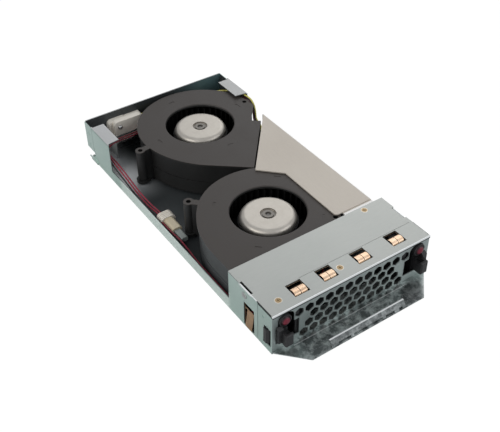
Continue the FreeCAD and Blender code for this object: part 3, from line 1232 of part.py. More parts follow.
def inline_plug():
    """Ribbed plug at the end of the harness."""
    x0 = -HALF + PLUG_INSET
    x1 = x0 + PLUG_WIDTH
    body = box(x0, x1, PLUG_Y, PLUG_Y + PLUG_LENGTH, PLUG_BASE, PLUG_BASE + PLUG_HEIGHT)
    body = body.makeFillet(PLUG_ROUND, top_edges(body, PLUG_LENGTH, PLUG_BASE))
    pitch = PLUG_LENGTH / (2 * PLUG_RIBS + 1)
    for number in range(PLUG_RIBS):
        start = PLUG_Y + (2 * number + 1) * pitch
        band = box(x0 - 1, x1 + 1, start, start + pitch, PLUG_BASE - 1, PLUG_BASE + PLUG_HEIGHT + 1)
        core = box(x0 + PLUG_RIB_DEPTH, x1 - PLUG_RIB_DEPTH, start - 1, start + pitch + 1,
                   PLUG_BASE + PLUG_RIB_DEPTH, PLUG_BASE + PLUG_HEIGHT - PLUG_RIB_DEPTH)
        core = core.makeFillet(PLUG_ROUND - PLUG_RIB_DEPTH, top_edges(core, pitch + 2, PLUG_BASE + PLUG_RIB_DEPTH))
        body = body.cut(band.cut(core))
    return body


def top_edges(block, length, base):
    """The two upper lengthwise edges of a block along y."""
    return [e for e in block.Edges if e.BoundBox.YLength > length - 0.01 and e.CenterOfMass.z > base + 1]


def inline_socket():
    """Socket that the plug is pushed into, with a latch ramp on top."""
    x0 = -HALF + SOCKET_INSET
    x1 = x0 + SOCKET_WIDTH
    y0 = PLUG_Y - SOCKET_LENGTH
    z1 = PLUG_BASE + PLUG_HEIGHT - SOCKET_MARGIN
    body = box(x0, x1, y0, PLUG_Y, PLUG_BASE + SOCKET_MARGIN / 2, z1)
    body = body.makeFillet(PLUG_ROUND - SOCKET_MARGIN, top_edges(body, SOCKET_LENGTH, PLUG_BASE + SOCKET_MARGIN))
    middle = (x0 + x1) / 2
    ramp = side_plate([(y0 + 4 * SHEET, z1 - SHEET), (PLUG_Y, z1 - SHEET), (PLUG_Y, z1 + SHEET / 2)],
                      middle - 2 * SHEET, middle + 2 * SHEET)
    return joined([body, ramp])


def socket_boot():
    """Soft grey boot over the end of the socket."""
    x0 = -HALF + BOOT_INSET
    y1 = PLUG_Y - SOCKET_LENGTH
    base = PLUG_BASE + SOCKET_MARGIN
    body = box(x0, x0 + BOOT_WIDTH, y1 - BOOT_LENGTH, y1, base, base + BOOT_HEIGHT)
    return body.makeFillet(BOOT_HEIGHT / 3, top_edges(body, BOOT_LENGTH, base))


# Wires


def wire_path(points):
    """Straight runs joined by tangent arcs, each as large as its two runs allow."""
    edges = []
    here = points[0]
    radii = []
    for before, corner, after in zip(points, points[1:], points[2:]):
        run_in = corner - before
        run_out = after - corner
        turn = run_in.getAngle(run_out)
        setback = 0.45 * min(run_in.Length, run_out.Length)
        radius = setback / math.tan(turn / 2)
        radii.append(round(radius, 1))
        unit_in = V(run_in).normalize()
        unit_out = V(run_out).normalize()
        start = corner - unit_in * setback
        end = corner + unit_out * setback
        inward = (unit_out - unit_in).normalize()
        centre_distance = radius / math.cos(turn / 2)
        middle = corner + inward * (centre_distance - radius)
        edges.append(Part.LineSegment(here, start).toShape())
        edges.append(Part.Arc(start, middle, end).toShape())
        here = end
    edges.append(Part.LineSegment(here, points[-1]).toShape())
    return Part.Wire(edges), radii


def wire(name, points):
    """A round wire along a route."""
    path, radii = wire_path(points)
    heading = points[1] - points[0]
    section = Part.Wire(Part.makeCircle(WIRE_DIAMETER / 2, points[0], heading))
    solid = path.makePipeShell([section], True, False)
    expected = math.pi * WIRE_DIAMETER**2 / 4 * path.Length
    print(name, "length", round(path.Length, 1), "radii", radii, "volume ratio", round(solid.Volume / expected, 4))
    return solid


def beside(points, offsets):
    """A route beside another, each point shifted by an offset of its own."""
    return [p + offset for p, offset in zip(points, offsets)]


def harness_route():
    """From the rear connector's front, round to the left wall and forward to the plug."""
    start = CONNECTOR_RIGHT - HARNESS_FROM_END
    lane = -HALF + HARNESS_LANE
    end = V(-HALF + HARNESS_END_X, PLUG_Y + PLUG_LENGTH, HARNESS_END_Z)
    points = [V(start, CONNECTOR_FRONT, HARNESS_START_Z)]
    for share, back, z in HARNESS_RISE:
        points.append(V(lane + share * (start - lane), MODULE_LENGTH - back, z))
    bend = V(-HALF + HARNESS_BEND[0], end.y + HARNESS_BEND[1], HARNESS_BEND[2])
    return points + [bend, end + V(0, HARNESS_RUN_IN, 0), end]


def front_lead_route():
    """From the plug along the left wall, under the cap and back to the front blower's base."""
    wall_y = FRONT_Y + CUTOFF_Y + RIM
    entry = V(FRONT_X + FRONT_LEAD_ENTRY, wall_y, PLUG_BASE + SHEET + BLOWER_BASE + SHEET / 2)
    points = [V(-HALF + FRONT_LEAD_X, PLUG_Y, FRONT_LEAD_Z)]
    points += [V(-HALF + x, y, z) for x, y, z in FRONT_LEAD_LANE]
    return points + [entry - V(0, FRONT_LEAD_RUN_IN, 0), entry]


def rear_lead_route():
    """From the rear connector behind the rear blower, round its right side and down to its base."""
    entry_z = BLOWER_BASE + SEAM_Z - REAR_LEAD_UNDER_SEAM
    entry = turned(V(REAR_LEAD_ENTRY, CUTOFF_Y + RIM, 0), REAR_TURN) + V(REAR_X, REAR_Y, entry_z)
    approach = entry + turned(V(0, -REAR_LEAD_RUN_IN, 0), REAR_TURN)
    start_y = MODULE_LENGTH - REAR_LEAD_FROM_END
    points = [V(CONNECTOR_RIGHT, start_y, REAR_LEAD_Z), V(REAR_X + REAR_LEAD_OUT, start_y, REAR_LEAD_Z)]
    points += [V(REAR_X + x, MODULE_LENGTH - back, MODULE_HEIGHT - drop) for x, back, drop in REAR_LEAD_BACK]
    points += [V(HALF - inset, MODULE_LENGTH - back, MODULE_HEIGHT - drop) for inset, back, drop in REAR_LEAD_SIDE]
    return points + [approach + V(*REAR_LEAD_BEND), approach, entry]


def wire_nodes():
    """Every wire as a piece of its own."""
    harness = harness_route()
    front_lead = front_lead_route()
    rear_lead = rear_lead_route()
    below = V(0, 0, -WIRE_PITCH)
    behind = V(0, 0.8, -0.8) * WIRE_PITCH
    slant = [behind if REAR_LEAD_BEHIND <= n < len(rear_lead) - 3 else below for n in range(len(rear_lead))]
    upper = [V(math.sin(math.radians(roll)), 0, math.cos(math.radians(roll))) * WIRE_PITCH for roll in HARNESS_ROLL]
    routes = {
        "harness_wire_red": harness,
        "harness_wire_second_red": beside(harness, [-offset for offset in upper]),
        "harness_wire_black": beside(harness, upper),
        "front_lead_red": front_lead,
        "front_lead_black": beside(front_lead, [below] * len(front_lead)),
        "rear_lead_yellow": rear_lead,
        "rear_lead_black": beside(rear_lead, slant),
        "rear_lead_maroon": beside(rear_lead, [offset * 2 for offset in slant]),
    }
    return {name: wire(name, points) for name, points in routes.items()}


def all_nodes():
    """Every piece of the module, by name."""
    nodes = {
        "tray": tray(),
        "rear_panel": rear_panel(),
        "front_cap": front_cap(),
        "cap_screws": cap_screws(),
        "front_grille": front_grille(),
        "handle_plate": handle_plate(),
        "duct_cover": duct_cover(),
        "top_contact_strip": top_contact_strip(),
        "left_contact_strip": left_contact_strip(),
        "right_contact_strip": mirrored(left_contact_strip()),
        "side_screws": side_screws(),
        "rear_connector_housing": rear_connector_housing(),
        "rear_connector_contacts": rear_connector_contacts(),
        "rear_connector_screw": rear_connector_screw(),
        "rear_connector_bracket": rear_connector_bracket(),
        "inline_plug": inline_plug(),
        "inline_socket": inline_socket(),
        "socket_boot": socket_boot(),
    }
    nodes.update(latch_nodes())
    for name, (place, angle) in BLOWERS.items():
        nodes.update(blower_nodes(name, place, angle))
    nodes.update(wire_nodes())
    return nodes


def main():
    """Write one file per piece."""
    os.makedirs("parts", exist_ok=True)
    for name, shape in all_nodes().items():
        shape.translate(TO_ORIGIN)
        shape.exportStep("parts/" + name + ".step")
        solids = len(shape.Solids)
        print(name, "solids", solids, "valid", shape.isValid(), "volume", round(shape.Volume, 1))
    print("length", round(MODULE_LENGTH, 2), "height", round(MODULE_HEIGHT, 2))


main()
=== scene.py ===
"""Looks of the fan module: finishes for every part, studio light, floor and camera.

Everything is in metres and in the frame of the solids: x across the module, y towards its rear, z up.
"""
import math

import bmesh
import bpy
from mathutils import Euler, Matrix, Vector


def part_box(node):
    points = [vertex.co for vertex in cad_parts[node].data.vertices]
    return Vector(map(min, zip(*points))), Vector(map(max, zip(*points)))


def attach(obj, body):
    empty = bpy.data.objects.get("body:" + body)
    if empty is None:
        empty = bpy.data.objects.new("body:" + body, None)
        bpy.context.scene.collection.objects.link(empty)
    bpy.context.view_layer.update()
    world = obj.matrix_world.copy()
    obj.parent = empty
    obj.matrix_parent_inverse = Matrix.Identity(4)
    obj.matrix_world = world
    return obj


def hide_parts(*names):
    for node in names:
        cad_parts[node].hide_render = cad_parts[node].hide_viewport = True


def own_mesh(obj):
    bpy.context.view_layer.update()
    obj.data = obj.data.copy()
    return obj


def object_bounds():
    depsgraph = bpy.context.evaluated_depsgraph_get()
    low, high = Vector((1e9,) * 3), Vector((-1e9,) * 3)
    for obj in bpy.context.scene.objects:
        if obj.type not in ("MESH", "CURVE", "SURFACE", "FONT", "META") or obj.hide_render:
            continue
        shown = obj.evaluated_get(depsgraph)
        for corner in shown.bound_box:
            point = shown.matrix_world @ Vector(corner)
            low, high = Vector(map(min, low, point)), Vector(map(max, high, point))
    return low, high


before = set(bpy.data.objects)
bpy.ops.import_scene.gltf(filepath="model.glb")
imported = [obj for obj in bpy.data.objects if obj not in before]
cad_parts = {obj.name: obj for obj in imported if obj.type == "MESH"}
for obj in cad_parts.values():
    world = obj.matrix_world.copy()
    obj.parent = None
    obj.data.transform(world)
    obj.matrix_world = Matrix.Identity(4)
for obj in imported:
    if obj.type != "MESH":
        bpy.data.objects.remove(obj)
CAD_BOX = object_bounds()
MM = 0.001

# Latch springs: wire in metres, and the sides, turns and steps of the coil
SPRING_WIRE = 0.0005
SPRING_WIRE_SIDES = 10
SPRING_TURNS = 5
SPRING_STEPS = 120

# Where the finishes and the painted light and shade change, in millimetres. A pair is where a mask starts and
# where it is full.
WALL_OUTSIDE_X = (74.2, 74.7)
REAR_OUTSIDE_Y = (160.75, 160.9)
UNDERSIDE_Z = (0.35, 0.1)
FLANGE_TOP_Z = (38.9, 39.3)
RIGHT_HALF_X = (0, 1)
# The next three place painted light that makes the lower walls paler.
LOW_WALL_Z = (18.6, 17.2)
LOW_WALL_ENDS_Y = (-80, 92)
LOW_WALL_FADE = 6
# A box of painted light on the floor inside the drawer.
LIT_FLOOR = ((-36, -60), (62, 112), (3.0, 1.5))
# A box of painted reflection inside the rear wall.
REAR_SHEEN = ((12, 62), (159.2, 159.9), (8, 24))
# The next three place a painted highlight along the slot lips.
SLOT_LIP_X = (73.9, 74.2)
SLOT_LIP_Z = (37.6, 37.9)
SLOT_ENDS_Y = (-113, -97)
FACE_SIDE_X = (74.3, 74.8)
FACE_SIDE_Y = (-138.9, -138.6)
FACE_BACK_Y = (-138.5, -137.9)
CAP_SIDE_X = (74.55, 74.8)
CAP_FRONT_Y = (-138.6, -138.85)
# The side edges of the cap get a painted highlight between these.
CAP_HIGHLIGHT_ENDS_Y = (-119.6, -97)
# Painted shade stands for gaps beside the cap's front corners between these.
CAP_SHADED_GAP_ENDS_Y = (-137.6, -120.2)
CAP_EDGE_Z = (38.2, 38.6)
# Below this the cap gets painted shade.
CAP_UNDER_Z = (38.95, 38.75)
# The next two place a painted highlight line across the pull plate.
CREASE_Y = -142.6
CREASE_ENDS_X = (-57, 52)
# The pull plate's ends get painted reflection between these.
PLATE_REFLECTION_ENDS_X = (50, 64)
# The next three place painted highlights on the duct's top and painted shade below it.
DUCT_FOLD_Y = -80.4
DUCT_TOP_Z = (37.0, 37.3)
DUCT_BELOW_Z = (37.2, 36.8)
# The next three place painted reflection on the left side of the front casing.
LIT_CASING_X = (-55, -64)
LIT_CASING_ENDS_Y = (-112, -30)
LIT_CASING_FADE = 14
# The next two place painted shade in the hub's sink and at its centre.
HUB_SINK_RADIUS = (6.75, 6.2)
HUB_MIDDLE_RADIUS = (2.4, 1.8)
# Beyond this the screw heads get a pale ring with a painted highlight.
HEAD_RIM_RADIUS = (2.3, 2.7)
WINDING_PITCH = 0.45
CAP_SCREWS = ((-62.0, -128.18, 39.7), (-4.8, -127.18, 39.7), (53.2, -86.78, 39.7))


# Shader nodes as Python expressions


class Socket:
    """A socket of a material's nodes, on which sums and products add the nodes for them."""

    def __init__(self, graph, socket):
        self.graph = graph
        self.socket = socket

    def math(self, operation, *others):
        return self.graph.add("ShaderNodeMath", {"operation": operation}, self, *others)

    def __add__(self, other):
        return self.math("ADD", other)

    __radd__ = __add__

    def __sub__(self, other):
        return self.math("SUBTRACT", other)

    def __rsub__(self, other):
        return self.graph.add("ShaderNodeMath", {"operation": "SUBTRACT"}, other, self)

    def __mul__(self, other):
        return self.math("MULTIPLY", other)

    def within(self, low, high, soft=0.3):
        """1 between low and high, and 0 beyond them."""
        return self.band(low - soft, low) * self.band(high + soft, high)

    def clamp(self):
        return self.graph.add("ShaderNodeClamp", {}, self)

    def band(self, low, high):
        """0 below low, 1 above high, and smooth between them."""
        settings = {"interpolation_type": "SMOOTHSTEP"}
        return self.graph.add("ShaderNodeMapRange", settings, self, low, high, 0.0, 1.0)


class Graph:
    """The nodes of one material, world or lamp."""

    def __init__(self, owner):
        owner.use_nodes = True
        self.tree = owner.node_tree
        self.tree.nodes.clear()

    def add(self, kind, settings, *inputs, out=0, **named):
        """A node of a kind: its settings first, then its inputs in order or by name. Returns an output."""
        node = self.tree.nodes.new(kind)
        for name, value in settings.items():
            setattr(node, name, value)
        for place, value in list(enumerate(inputs)) + [(n.replace("_", " "), v) for n, v in named.items()]:
            if isinstance(value, Socket):
                self.tree.links.new(value.socket, node.inputs[place])
            else:
                node.inputs[place].default_value = value
        return Socket(self, node.outputs[out]) if node.outputs else node

    def object_place(self, scale=(1, 1, 1), centre=(0, 0, 0)):
        """Object coordinates in millimetres from a centre, stretched by a scale."""
        place = self.add("ShaderNodeTexCoord", {}, out=3)
        size = tuple(s / MM for s in scale)
        shift = tuple(-c * s for c, s in zip(centre, size))
        return self.add("ShaderNodeMapping", {}, place, shift, (0, 0, 0), size)

    def across(self, place):
        """The three numbers of a place."""
        split = self.tree.nodes.new("ShaderNodeSeparateXYZ")
        self.tree.links.new(place.socket, split.inputs[0])
        return [Socket(self, out) for out in split.outputs]

    def noise(self, place, scale, detail=3.0, rough=0.5):
        return self.add("ShaderNodeTexNoise", {}, Vector=place, Scale=scale, Detail=detail, Roughness=rough)

    def mix(self, share, low, high):
        """Colour between two colours."""
        low = low if isinstance(low, Socket) else (*low, 1)
        high = high if isinstance(high, Socket) else (*high, 1)
        node = self.tree.nodes.new("ShaderNodeMix")
        node.data_type = "RGBA"
        for place, value in ((0, share), (6, low), (7, high)):
            if isinstance(value, Socket):
                self.tree.links.new(value.socket, node.inputs[place])
            else:
                node.inputs[place].default_value = value
        return Socket(self, node.outputs[2])

    def bump(self, height, depth):
        """Normals from a height of 0 to 1, with its depth in millimetres."""
        return self.add("ShaderNodeBump", {}, Strength=1.0, Distance=depth * MM, Height=height)

    def radius(self, place, plane=(1, 1, 0)):
        """Distance from an axis through a place's zero, upright unless another plane is given."""
        flat = self.add("ShaderNodeVectorMath", {"operation": "MULTIPLY"}, place, plane)
        return self.add("ShaderNodeVectorMath", {"operation": "LENGTH"}, flat, out=1)

    def rings(self, radius, scale):
        """Noise that changes only with the radius."""
        return self.noise(self.add("ShaderNodeCombineXYZ", {}, radius, 0.0, 0.0), scale, 4.0, 0.6)

    def surface(self, **sockets):
        """The principled shader and the output."""
        shader = self.add("ShaderNodeBsdfPrincipled", {}, **sockets)
        self.add("ShaderNodeOutputMaterial", {}, shader)


def finish_named(name):
    """A new material and its nodes."""
    material = bpy.data.materials.new(name)
    return material, Graph(material)


def patch(x, y, z, spans):
    """Mask of a soft-edged box, from where it starts and is full along each direction."""
    return x.band(*spans[0]) * y.band(*spans[1]) * z.band(*spans[2])


def rolled_sheet(g, grain, cloud_size, depth=0.02):
    """Tone, roughness change and normals of rolled, plated sheet with its grain along it."""
    clouds = g.noise(g.object_place(), 1 / cloud_size, 2.0, 0.5)
    rolled = g.noise(g.object_place(scale=grain), 1.6, 5.0, 0.65)
    scratch_field = g.noise(g.object_place(scale=(grain[1], grain[0], 1.0)), 0.9, 2.0, 0.4)
    scratches = (scratch_field - 0.5).math("ABSOLUTE").band(0.004, 0.0)
    tone = (clouds * 0.7 + rolled * 0.3).band(0.15, 0.85)
    change = (clouds - 0.5) * 0.12 + scratches * 0.04
    return tone, change, g.bump(rolled * 0.6 + scratches * 0.25, depth)


def sheet_metal(name, colour, dark, grain=(1.0, 0.08, 1.0), rough=0.38, cloud_size=45.0, metallic=1.0):
    """Rolled and plated sheet: fine grain along the sheet, soft clouds and hair scratches."""
    material, g = finish_named(name)
    tone, change, normal = rolled_sheet(g, grain, cloud_size)
    g.surface(Base_Color=g.mix(tone, dark, colour), Metallic=metallic, Roughness=rough + change, Normal=normal)
    return material


def green_wall(g, tone):
    """Colour of the plated walls seen from outside, with painted light making their lower part paler."""
    x, y, z = g.across(g.object_place())
    # Painted light: the walls are paler in their lower part.
    low = z.band(*LOW_WALL_Z) * y.within(*LOW_WALL_ENDS_Y, LOW_WALL_FADE)
    high = g.mix(tone, (0.45, 0.57, 0.52), (0.58, 0.69, 0.64))
    return g.mix(low, high, g.mix(tone, (0.70, 0.79, 0.74), (0.80, 0.88, 0.83)))


def tray_sheet(name):
    """Plated sheet of the drawer: pale green outside; inside, painted shade with a painted pool of light on the
    floor and a painted reflection on the rear wall; painted highlights along the slot lips at its cut edges.
    """
    material, g = finish_named(name)
    tone, change, normal = rolled_sheet(g, (1.0, 0.08, 1.0), 60.0)
    x, y, z = g.across(g.object_place())
    outer = x.math("ABSOLUTE").band(*WALL_OUTSIDE_X)
    top = z.band(*FLANGE_TOP_Z)
    flange = g.mix(tone, (0.47, 0.475, 0.475), (0.66, 0.66, 0.655))
    shown = (outer + y.band(*REAR_OUTSIDE_Y) + z.band(*UNDERSIDE_Z)).clamp()
    # Painted shade: the inside of the drawer is darker than its outside.
    inside_painted_shade_and_light = g.mix(tone, (0.035, 0.040, 0.042), (0.075, 0.082, 0.084))
    # Painted light: a pale patch on the floor inside.
    inside_painted_shade_and_light = g.mix(patch(x, y, z, LIT_FLOOR), inside_painted_shade_and_light, (0.80, 0.81, 0.81))
    # Painted reflection: a teal sheen inside the rear wall.
    inside_painted_shade_and_light = g.mix(patch(x, y, z, REAR_SHEEN), inside_painted_shade_and_light, (0.13, 0.22, 0.23))
    base = g.mix(shown, inside_painted_shade_and_light, green_wall(g, tone))
    base = g.mix(top, base, g.mix(x.band(*RIGHT_HALF_X) * 0.35, flange, (0.16, 0.16, 0.15)))
    # Painted highlight: a bright line along the slot lips at the top of the side walls.
    slot_lip_highlight = x.math("ABSOLUTE").band(*SLOT_LIP_X) * z.band(*SLOT_LIP_Z) * y.within(*SLOT_ENDS_Y)
    base = g.mix(slot_lip_highlight, base, (0.95, 0.96, 0.95))
    metallic = (0.35 + (shown + top) * 0.45).clamp()
    g.surface(Base_Color=base, Metallic=metallic, Roughness=0.42 + change, Normal=normal)
    return material


def face_sheet(name):
    """Plated sheet of the front face: dull in front, pale green on its side flanges, and dark behind from painted
    shade.
    """
    material, g = finish_named(name)
    tone, change, normal = rolled_sheet(g, (0.08, 1.0, 1.0), 50.0)
    x, y, z = g.across(g.object_place())
    side = x.math("ABSOLUTE").band(*FACE_SIDE_X) * y.band(*FACE_SIDE_Y)
    # Painted shade: the back of the face, inside the module, is dark.
    shaded_behind = y.band(*FACE_BACK_Y) * (1 - side)
    front = g.mix(tone, (0.33, 0.385, 0.37), (0.45, 0.50, 0.485))
    base = g.mix(side, g.mix(shaded_behind, front, (0.05, 0.055, 0.056)), green_wall(g, tone))
    g.surface(Base_Color=base, Metallic=0.85 - shaded_behind * 0.5, Roughness=0.4 + change, Normal=normal)
    return material


def cap_sheet(name):
    """Plated sheet of the front cap: painted highlights on its front fold and slot edges, painted shade
    underneath and as dark gaps beside its front corners.
    """
    material, g = finish_named(name)
    tone, change, normal = rolled_sheet(g, (0.08, 1.0, 1.0), 70.0, 0.012)
    x, y, z = g.across(g.object_place())
    side = x.math("ABSOLUTE").band(*CAP_SIDE_X)
    front = y.band(*CAP_FRONT_Y)
    # Painted highlight: bright lines along the front fold and the edges by the slots.
    edge = (front + side * y.within(*CAP_HIGHLIGHT_ENDS_Y)).clamp() * z.band(*CAP_EDGE_Z)
    # Painted shade: dark gaps beside the front corners, with no gap in the sheet.
    gap = side * y.within(*CAP_SHADED_GAP_ENDS_Y)
    # Painted shade: everything below the cap's top is dark, except the highlighted edges.
    shaded_under = z.band(*CAP_UNDER_Z) * (1 - edge)
    base = g.mix(tone, (0.40, 0.415, 0.395), (0.50, 0.51, 0.485))
    base = g.mix((shaded_under + gap).clamp(), base, (0.05, 0.055, 0.055))
    base = g.mix(edge, base, (0.96, 0.97, 0.96))
    g.surface(Base_Color=base, Metallic=0.85 - edge * 0.75, Roughness=0.42 + change, Normal=normal)
    return material


def handle_sheet(name, low, high):
    """Glossier, blotchy plated sheet of the pull plate, with painted highlights along its lip and a crease line,
    painted shade on the lip's face and painted reflection on its ends.
    """
    material, g = finish_named(name)
    place = g.object_place()
    blotches = g.noise(place, 0.17, 5.0, 0.65)
    fine = g.noise(place, 0.8, 4.0, 0.6)
    x, y, z = g.across(place)
    # Painted highlight: a bright line along the top of the lip.
    lip = z.band(high - 0.3, high - 0.12)
    # Painted shade: the lip's face below its top edge is darker.
    lip_side_shade = z.band(low + 1.3, low + 1.7) * (1 - lip)
    # Painted highlight: a bright line across the plate, with no crease in the sheet.
    crease_highlight_line = (y - CREASE_Y).math("ABSOLUTE").band(0.4, 0.15)
    crease_highlight = crease_highlight_line * x.within(*CREASE_ENDS_X, 1.0) * z.band(low + 0.8, low + 0.95)
    # The painted highlights of the lip and the crease together.
    bright = (lip + crease_highlight * 0.6).clamp()
    stain = (blotches * 0.8 + fine * 0.2).band(0.40, 0.62)
    # Painted reflection: the plate's ends are lighter.
    painted_reflection_ends = x.math("ABSOLUTE").band(*PLATE_REFLECTION_ENDS_X)
    base = g.mix(stain, g.mix(painted_reflection_ends, (0.15, 0.165, 0.165), (0.30, 0.34, 0.33)), (0.56, 0.60, 0.59))
    base = g.mix(lip_side_shade * 0.5, base, (0.12, 0.125, 0.125))
    base = g.mix(bright, base, (0.97, 0.98, 0.97))
    g.surface(Base_Color=base, Metallic=0.9 - bright * 0.8, Roughness=0.24 + fine * 0.22,
              Normal=g.bump(blotches * 0.5 + fine * 0.3, 0.15))
    return material


def duct_sheet(name, right):
    """Bare, slightly warm sheet, nearly even, with painted highlights on its right cut edge and on the fold at
    its front, and painted shade below its top.
    """
    material, g = finish_named(name)
    tone, change, normal = rolled_sheet(g, (1.0, 0.1, 1.0), 90.0, 0.012)
    x, y, z = g.across(g.object_place())
    # Painted highlight: a bright line along the fold at the front of the top.
    fold_highlight = (y - DUCT_FOLD_Y).math("ABSOLUTE").band(1.6, 1.2) * z.band(*DUCT_TOP_Z)
    # Painted highlight: a bright line along the right cut edge of the top.
    edge = x.band(right - 0.7, right - 0.4) * z.band(*DUCT_TOP_Z)
    # Painted shade: the faces below the top are darker.
    shaded_below = z.band(*DUCT_BELOW_Z)
    base = g.mix(tone, (0.53, 0.475, 0.41), (0.66, 0.60, 0.525))
    base = g.mix(shaded_below, base, (0.30, 0.29, 0.27))
    base = g.mix((fold_highlight + edge).clamp(), base, (0.96, 0.94, 0.91))
    g.surface(Base_Color=base, Metallic=0.35, Roughness=0.5 + change, Normal=normal)
    return material


def casing_plastic(name, top):
    """Glass-filled moulding: nearly black, with painted light making its top grey-brown and painted reflection
    lightening one side of the front casing.
    """
    material, g = finish_named(name)
    place = g.object_place()
    fine = g.noise(place, 2.2, 3.0, 0.55)
    clouds = g.noise(place, 0.05, 3.0, 0.5)
    specks = g.noise(place, 1.3, 2.0, 0.5).band(0.68, 0.76)
    x, y, z = g.across(place)
    # Painted light: the top is lighter than the sides.
    lit_top = z.band(top - 0.9, top - 0.2)
    # Painted reflection: a lighter patch on the left side of the front casing.
    lit_side = x.band(*LIT_CASING_X) * y.within(*LIT_CASING_ENDS_Y, LIT_CASING_FADE) * z.within(6, top - 1, 4)
    shade = (clouds * 0.6 + fine * 0.25 + specks * 0.2).clamp()
    sides = g.mix(lit_side, g.mix(shade, (0.008, 0.008, 0.008), (0.017, 0.017, 0.016)), (0.034, 0.038, 0.039))
    base = g.mix(lit_top, sides, g.mix(shade, (0.036, 0.029, 0.025), (0.058, 0.048, 0.0415)))
    roughness = 0.5 + (clouds - 0.5) * 0.14 + (fine - 0.5) * 0.12
    g.surface(Base_Color=base, Roughness=roughness, Normal=g.bump(fine, 0.02))
    return material


def hub_steel(name, centre):
    """Spun hub cup: satin, slightly warm, with fine rings, and painted shade darkening the sink at its middle and
    its centre.
    """
    material, g = finish_named(name)
    place = g.object_place(centre=centre)
    radius = g.radius(place)
    rings = g.rings(radius, 1.6)
    clouds = g.noise(place, 0.12, 3.0, 0.55)
    shaded_sink = radius.band(*HUB_SINK_RADIUS)
    middle = radius.band(*HUB_MIDDLE_RADIUS)
    base = g.mix((clouds * 0.6 + rings * 0.4).band(0.3, 0.7), (0.49, 0.455, 0.405), (0.58, 0.545, 0.49))
    # Painted shade: the sink is darker, and the centre round the shaft darker still.
    base = g.mix(shaded_sink, base, (0.22, 0.205, 0.185))
    base = g.mix(middle, base, (0.08, 0.075, 0.07))
    g.surface(Base_Color=base, Metallic=0.8, Roughness=0.4 + (clouds - 0.5) * 0.14 + (rings - 0.5) * 0.08,
              Normal=g.bump(rings, 0.008))
    return material


def screw_heads(name, centres):
    """Yellow-passivated heads, each with a pale ring for the pressed dimple round it, brightened by a painted
    highlight.
    """
    material, g = finish_named(name)
    place = g.object_place()
    nearest = None
    for x, y, z in centres:
        gap = g.add("ShaderNodeVectorMath", {"operation": "DISTANCE"}, place, (x, y, z), out=1)
        nearest = gap if nearest is None else nearest.math("MINIMUM", gap)
    # The pale ring stands for the pressed dimple round each head; its brightness is a painted highlight.
    rim = nearest.band(*HEAD_RIM_RADIUS)
    clouds = g.noise(place, 0.5, 3.0, 0.5)
    base = g.mix(rim, g.mix(clouds, (0.26, 0.18, 0.10), (0.46, 0.35, 0.21)), (0.74, 0.70, 0.62))
    g.surface(Base_Color=base, Metallic=1.0, Roughness=0.3 + (clouds - 0.5) * 0.2,
              Normal=g.bump(g.noise(place, 2.0, 2.0, 0.5), 0.01))
    return material


def moulded(name, colour, light, rough=0.5, grain=2.6, specular=0.5):
    """Moulded plastic: fine spark-eroded grain, slight flow clouds and dust."""
    material, g = finish_named(name)
    fine = g.noise(g.object_place(), grain, 3.0, 0.55)
    clouds = g.noise(g.object_place(), 0.07, 3.0, 0.5)
    specks = g.noise(g.object_place(), 1.1, 2.0, 0.5).band(0.66, 0.74)
    base = g.mix((clouds * 0.6 + fine * 0.25 + specks * 0.25).clamp(), colour, light)
    roughness = rough + (clouds - 0.5) * 0.14 + (fine - 0.5) * 0.12
    g.surface(Base_Color=base, Roughness=roughness, Specular_IOR_Level=specular, Normal=g.bump(fine, 0.02))
    return material


def turned_metal(name, colour, dark, rough, ring_pitch):
    """Spun or ground metal with fine rings about an upright axis."""
    material, g = finish_named(name)
    place = g.object_place()
    rings = g.rings(g.radius(place), 1 / ring_pitch)
    clouds = g.noise(place, 0.09, 3.0, 0.55)
    base = g.mix((clouds * 0.6 + rings * 0.4).band(0.3, 0.7), dark, colour)
    roughness = rough + (clouds - 0.5) * 0.18 + (rings - 0.5) * 0.1
    g.surface(Base_Color=base, Metallic=1.0, Roughness=roughness, Normal=g.bump(rings, 0.01))
    return material


def lens_red(name, centre, radius):
    """Red moulded dome, darker towards its rim where the ring shades it."""
    material, g = finish_named(name)
    place = g.object_place(centre=centre)
    clouds = g.noise(place, 1.2, 3.0, 0.5)
    rim = g.radius(place, (1, 0, 1)).band(radius * 0.58, radius * 0.86)
    base = g.mix(rim, g.mix(clouds, (0.13, 0.008, 0.020), (0.24, 0.018, 0.04)), (0.020, 0.008, 0.010))
    g.surface(Base_Color=base, Roughness=0.3 + clouds * 0.1, Specular_IOR_Level=0.4, Normal=g.bump(clouds, 0.01))
    return material


def insulation(name, colour, light):
    """Soft glossy wire insulation."""
    material, g = finish_named(name)
    clouds = g.noise(g.object_place(), 0.25, 3.0, 0.5)
    fine = g.noise(g.object_place(), 3.0, 2.0, 0.5)
    roughness = 0.32 + (clouds - 0.5) * 0.2
    g.surface(Base_Color=g.mix(clouds, colour, light), Roughness=roughness, Normal=g.bump(fine, 0.008))
    return material


def wound(name, colour, dark, centre):
    """Windings: fine parallel turns round the teeth."""
    material, g = finish_named(name)
    radius = g.radius(g.object_place(centre=centre))
    turns = (radius * (2 * math.pi / WINDING_PITCH)).math("SINE") * 0.5 + 0.5
    g.surface(Base_Color=g.mix(turns, dark, colour), Metallic=0.8, Roughness=0.35 + turns * 0.1,
              Normal=g.bump(turns, 0.1))
    return material


